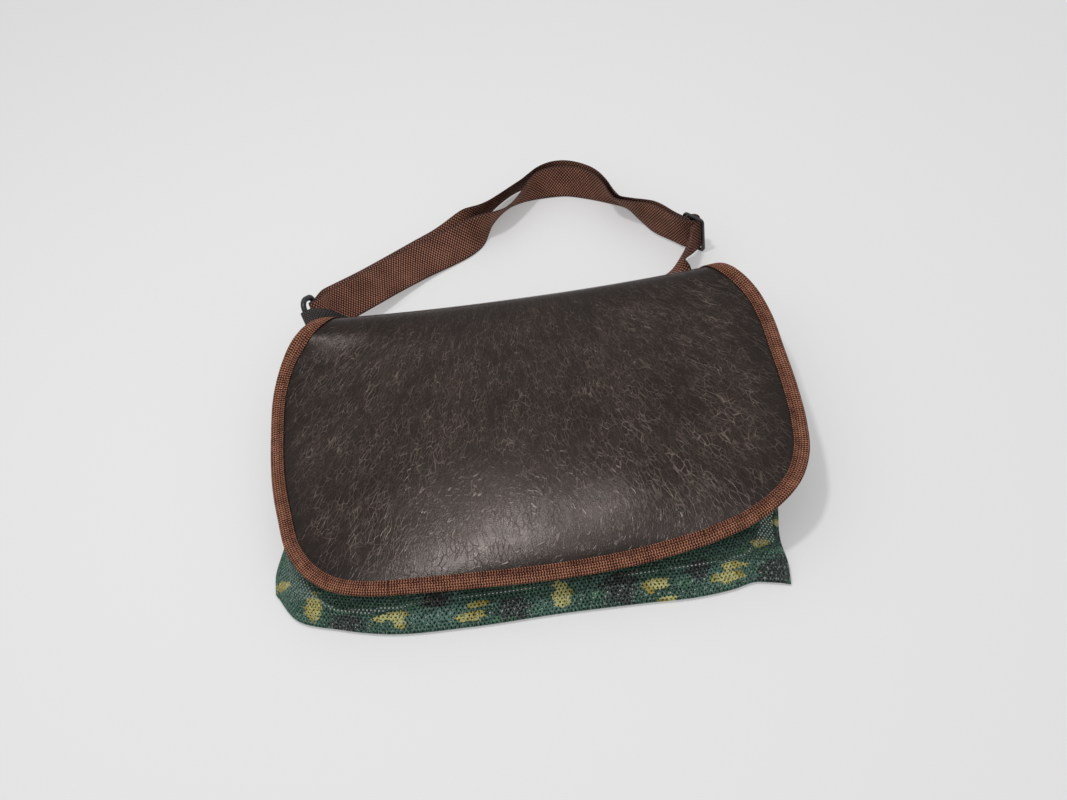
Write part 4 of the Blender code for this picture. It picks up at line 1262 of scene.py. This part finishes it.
def make_ring(name, at, bars, across, replaced):
    bars, across, out = ring_axes(bars, across)
    radii = (RING_TAB_CORNER, RING_STRAP_CORNER, RING_STRAP_CORNER, RING_TAB_CORNER)
    path = round_box(RING_SPACING, RING_LONG - RING_BAR, radii, RING_CORNER_STEPS)
    x, y, run_x, run_y = path.T[:, :, None]
    place = np.array(at) + across * x + bars * y
    side = np.cross(across * run_x + bars * run_y, out)
    angle = 2 * math.pi * np.arange(RING_SIDES)[None, :, None] / RING_SIDES
    points = place[:, None] + (side[:, None] * np.cos(angle) + out * np.sin(angle)) * RING_BAR / 2
    faces = tube_faces(len(place), RING_SIDES, closed=True)
    dress(add_piece(name, points.reshape(-1, 3), faces, black_plastic), "black_plastic", replaced)


make_ring("ring_at_left", *LEFT_RING, "dring_left")
make_ring("ring_at_right", *RIGHT_RING, "dring_right")

# %% Mould the slider
SLIDER_ROUNDING = 0.0007
SLOT_CORNER = 0.0012
SLIDER_CORNER_STEPS = 7


def add_outline(curve, wide, tall, radius, shift=0.0):
    """A closed outline with round corners, added to a flat curve."""
    path = round_box(wide, tall, [radius] * len(BOX_CORNERS), SLIDER_CORNER_STEPS)
    spline = curve.splines.new("POLY")
    spline.points.add(len(path) - 1)
    for point, (x, y, _, _) in zip(spline.points, path):
        point.co = (shift + x, y, 0.0, 1.0)
    spline.use_cyclic_u = True


def make_slider():
    outline = bpy.data.curves.new("slider_outline", "CURVE")
    outline.dimensions = "2D"
    outline.fill_mode = "BOTH"
    outline.extrude = SLIDER_DEEP / 2 - SLIDER_ROUNDING
    outline.bevel_depth = SLIDER_ROUNDING
    outline.bevel_resolution = 3
    outline.offset = -SLIDER_ROUNDING
    add_outline(outline, 2 * SLIDER_SPACING + SLIDER_BAR, SLIDER_TALL, SLIDER_CORNER)
    for side in (-1, 1):
        add_outline(outline, SLIDER_SPACING - SLIDER_BAR, SLIDER_TALL - 2 * SLIDER_RAIL,
                    SLOT_CORNER, side * SLIDER_SPACING / 2)
    drawn = add_object("slider_drawn", outline)
    bpy.context.view_layer.update()
    mesh = bpy.data.meshes.new_from_object(drawn.evaluated_get(bpy.context.evaluated_depsgraph_get()))
    bpy.data.objects.remove(drawn)
    heading = unit((*SLIDER_HEADING, 0.0))
    turn = Matrix((heading, UP, np.cross(heading, UP))).transposed().to_4x4()
    mesh.transform(Matrix.Translation(SLIDER_AT) @ turn)
    mesh.shade_smooth()
    mesh.set_sharp_from_angle(angle=math.radians(40))
    mesh.materials.clear()
    mesh.materials.append(black_plastic)
    dress(add_object("strap_slider", mesh), "black_plastic", "slider")
    print("strap_slider", len(mesh.polygons), "faces")


make_slider()

# %% [markdown]
# ## Tabs
# Each ring is held by a folded tab of dark webbing, sewn to the rear of the crest. Its route
# goes from the crest to the ring's short bar, round it, and back along itself.

# %% Fold the tabs
TAB_WIDE = 0.021
TAB_THICK = 0.0012
TAB_NECK = 0.0065
TAB_ROWS = 12
TAB_NECK_SPREAD = 0.0024
LEFT_TAB = [
    # x, y, z of the tab's middle, and the line of its width
    (-0.122, 0.112, 0.024, 0.0, -0.05, 1.0),
    (-0.134, 0.1142, 0.0265, 0.0, 0.05, 1.0),
    (-0.1462, 0.1164, 0.0345, -0.08, 0.28, 0.95),
]
RIGHT_TAB = [
    (0.123, 0.0952, 0.038, 0.995, -0.06, 0.06),
    (0.125, 0.0958, 0.029, 0.99, -0.06, 0.1),
]
WRAP_STEPS = 9
TAB_RELIEF = 0.00006


def wrap(bar, out_line, face_line, radius):
    """Half a turn round a bar, from the face's side to its far side."""
    angles = np.linspace(0.0, math.pi, WRAP_STEPS)[:, None]
    return bar + radius * (face_line * np.cos(angles) + out_line * np.sin(angles))


def make_tab(name, at, bars, across, rows, replaced):
    bars, across, _ = ring_axes(bars, across)
    bar = np.array(at) + across * RING_SPACING / 2
    face = unit(np.cross(unit(bar - rows[-1][:3]), bars))
    pull = np.cross(bars, face)
    turn = wrap(bar, pull, face, (RING_BAR + TAB_THICK) / 2 + 2 * SEWN_GAP)
    neck = np.concatenate([bar - pull * TAB_NECK, bars])
    rows = along(np.concatenate([rows, [neck]]), TAB_ROWS)
    middle, lines = rows[:, :3], unit(rows[:, 3:])
    faces = unit(np.cross(np.gradient(middle, axis=0), lines))
    spread = faces * np.linspace(TAB_THICK / 2 + SEWN_GAP, TAB_NECK_SPREAD, TAB_ROWS)[:, None]
    route = np.concatenate([middle + spread, turn, (middle - spread)[::-1]])
    widths = np.concatenate([lines, [bars] * len(turn), lines[::-1]])
    tab, length = make_band(name, route, widths, TAB_WIDE, TAB_THICK, TAB_BRICK, TAB_RELIEF, tab_webbing)
    dress(tab, "tab_webbing", replaced)
    return tab, length


left_tab, left_tab_length = make_tab("ring_tab_left", *LEFT_RING, LEFT_TAB, "tab_left")
right_tab, right_tab_length = make_tab("ring_tab_right", *RIGHT_RING, RIGHT_TAB, "tab_right")

# %% [markdown]
# ## Shoulder strap
# The strap is one run of webbing. It starts at the slider, where its end is sewn round the
# middle bar, goes left to the ring, turns back as a second layer behind the first, passes
# through the slider and drops behind the crest to the right ring. Where the two layers part
# and lean over, the loop shows its dark inner side.

# %% Route of the strap
WEBBING_WIDE = 0.03
WEBBING_THICK = 0.0014
TAIL_LOOP = 0.0031
STRAP_RELIEF = 0.0001
STRAP_RUN = [
    # x, y, height of the lower edge, lean, distance to the back layer, lean of the back layer
    (-0.144, 0.1405, 0.0153, 38.0, 0.005, 38.0),
    (-0.122, 0.1575, 0.012, 46.0, 0.0036, 46.0),
    (-0.096, 0.179, 0.006, 50.0, 0.0036, 50.0),
    (-0.07, 0.1965, 0.0015, 50.0, 0.0048, 48.0),
    (-0.05, 0.206, 0.0, 48.0, 0.0075, 46.0),
    (-0.034, 0.212, 0.0, 38.0, 0.0115, 34.0),
    (-0.022, 0.2165, 0.0, 16.0, 0.0145, 12.0),
    (-0.0125, 0.223, 0.0, -10.0, 0.0155, -8.0),
    (-0.0045, 0.2315, 0.0, -30.0, 0.014, -20.0),
    (0.0045, 0.2415, 0.0, -38.0, 0.0122, -26.0),
    (0.0145, 0.2508, 0.0, -34.0, 0.0118, -30.0),
    (0.027, 0.2585, 0.0, -15.0, 0.0126, -30.0),
    (0.042, 0.2638, 0.0, 6.0, 0.0134, -18.0),
    (0.06, 0.263, 0.0, 12.0, 0.0088, 6.0),
    (0.079, 0.253, 0.0, 8.0, 0.0054, 8.0),
    (0.093, 0.2385, 0.0, -12.0, 0.0048, -12.0),
    (0.1035, 0.2235, 0.0, -34.0, 0.0048, -34.0),
    (0.113, 0.2085, 0.0008, -20.0, 0.0044, -20.0),
    (0.1244, 0.1948, 0.0018, 0.0, 0.0042, 0.0),
]
STRAP_RETURN = [
    # from the slider to the right ring: x, y, z, lean
    (0.15, 0.153, 0.0166, 8.0),
    (0.1428, 0.1432, 0.0162, 20.0),
    (0.1345, 0.1325, 0.0145, 32.0),
]
STRAP_RETURN_ROWS = 9
STRAP_HEM = 0.01
STRAP_STEP = 0.007
STRAP_CLEAR = 0.0006
STRAP_WRAP = (RING_BAR + WEBBING_THICK) / 2 + 2 * SEWN_GAP
HEM_STEPS = (0.35, 0.7, 1.0)
HEM_CLOSE = 0.5
# At the slider: distance along the strap, distance out toward its front
TAIL_END = [
    (-0.017, 0.0042), (-0.014, 0.0042), (-0.0085, 0.0042), (-0.0062, 0.0036),
    (-0.0043, 0.0022), (-0.0032, 0.0006),
]
TAIL_TURN = (190.0, 430.0, 9)
TAIL_START = [(-0.002, 0.0043), (-0.005, 0.0056), (-0.0085, 0.0061), (-0.014, 0.0061)]
THROUGH_IN = [
    (-0.014, 0.0023), (-0.0092, 0.0023), (-0.0071, 0.0022), (-0.006, 0.001), (-0.0054, -0.0006),
]
THROUGH_TURN = (200.0, 355.0, 7)
THROUGH_OUT = [(0.0051, 0.002), (0.0051, 0.005), (0.0049, 0.01)]


def slider_point(along_strap, forward):
    """A point at the slider: distance along the strap, and out toward the strap's front."""
    heading = unit((*SLIDER_HEADING, 0.0))
    return np.array(SLIDER_AT) + heading * along_strap + np.cross(heading, UP) * forward


def round_bar(radius, first, last, steps):
    """Points round the slider's middle bar, from one angle to another, as slider places."""
    angles = np.radians(np.linspace(first, last, steps))
    return [(radius * math.cos(a), radius * math.sin(a)) for a in angles]


def strap_layers():
    """Front and back layers between the ring and the slider: places and width lines."""
    rows = np.array(STRAP_RUN)
    run = running_length(rows[:, :2])
    count = int(run[-1] / STRAP_STEP)
    at = np.linspace(0.0, run[-1], count)
    x, y, edge, lean, apart, lean_back = smooth_table(np.column_stack([run, rows]), at).T
    heading = unit(np.gradient(np.column_stack([x, y]), axis=0))
    rearward = np.column_stack([-heading[:, 1], heading[:, 0], np.zeros(count)])
    layers = []
    for turn, shift in ((lean, 0.0), (lean_back, apart[:, None])):
        turn = np.radians(turn)[:, None]
        tall = WEBBING_WIDE * np.cos(turn) + WEBBING_THICK * np.sin(np.abs(turn))
        middle = np.column_stack([x, y, edge + STRAP_CLEAR + tall[:, 0] / 2])
        layers += [middle + rearward * shift, rearward * np.sin(turn) + UP * np.cos(turn)]
    return layers


def strap_bar(at, bars, across, toward):
    """A ring's strap bar: its middle, its line, the strap's pull and the face that it meets."""
    bars, across, _ = ring_axes(bars, across)
    bar = np.array(at) - across * RING_SPACING / 2
    face = unit(np.cross(unit(toward - bar), bars))
    return bar, bars, np.cross(bars, face), face


def strap_return(bar, bars, pull, face):
    """Places and width lines from the slider to the right ring, turning flat on the way."""
    table = np.array(STRAP_RETURN)
    heading = unit([*(table[-1, :2] - table[0, :2]), 0.0])
    side = np.array([-heading[1], heading[0], 0.0])
    lean = np.radians(table[:, 3:])
    rows = np.column_stack([table[:, :3], side * np.sin(lean) + UP * np.cos(lean)])
    end = np.concatenate([bar + pull * STRAP_HEM + face * STRAP_WRAP, bars])
    return along(np.concatenate([rows, [end]]), STRAP_RETURN_ROWS)


# %% Sew the strap
def strap_route():
    """The whole run of webbing as rows: place, and the line of its width there."""
    parts = []

    def add(points, lines):
        parts.append(np.column_stack([points, np.broadcast_to(lines, (len(points), 3))]))

    front, front_width, back, back_width = strap_layers()
    tail = TAIL_END + round_bar(TAIL_LOOP, *TAIL_TURN) + TAIL_START
    add([slider_point(a, f) for a, f in tail], UP)
    add(front[::-1], front_width[::-1])
    bar, bars, pull, face = strap_bar(*LEFT_RING, (front[0] + back[0]) / 2)
    add(wrap(bar, -pull, face, STRAP_WRAP), bars)
    add(back, back_width)
    over_tail = TAIL_LOOP + WEBBING_THICK + 2 * SEWN_GAP
    through = THROUGH_IN + round_bar(over_tail, *THROUGH_TURN) + THROUGH_OUT
    add([slider_point(a, f) for a, f in through], UP)
    bar, bars, pull, face = strap_bar(*RIGHT_RING, np.array(STRAP_RETURN[-1][:3]))
    parts.append(strap_return(bar, bars, pull, -face))
    add(wrap(bar, -pull, -face, STRAP_WRAP), bars)
    step = np.array(HEM_STEPS)[:, None]
    add(bar + pull * STRAP_HEM * step + face * STRAP_WRAP * (1 - HEM_CLOSE * step), bars)
    return np.concatenate(parts)


route = strap_route()
strap, strap_length = make_band("shoulder_strap", route[:, :3], route[:, 3:], WEBBING_WIDE, WEBBING_THICK,
                                STRAP_BRICK, STRAP_RELIEF, brown_webbing)
dress(strap, "brown_webbing", "strap")
print("strap length", round(strap_length, 3), "m")
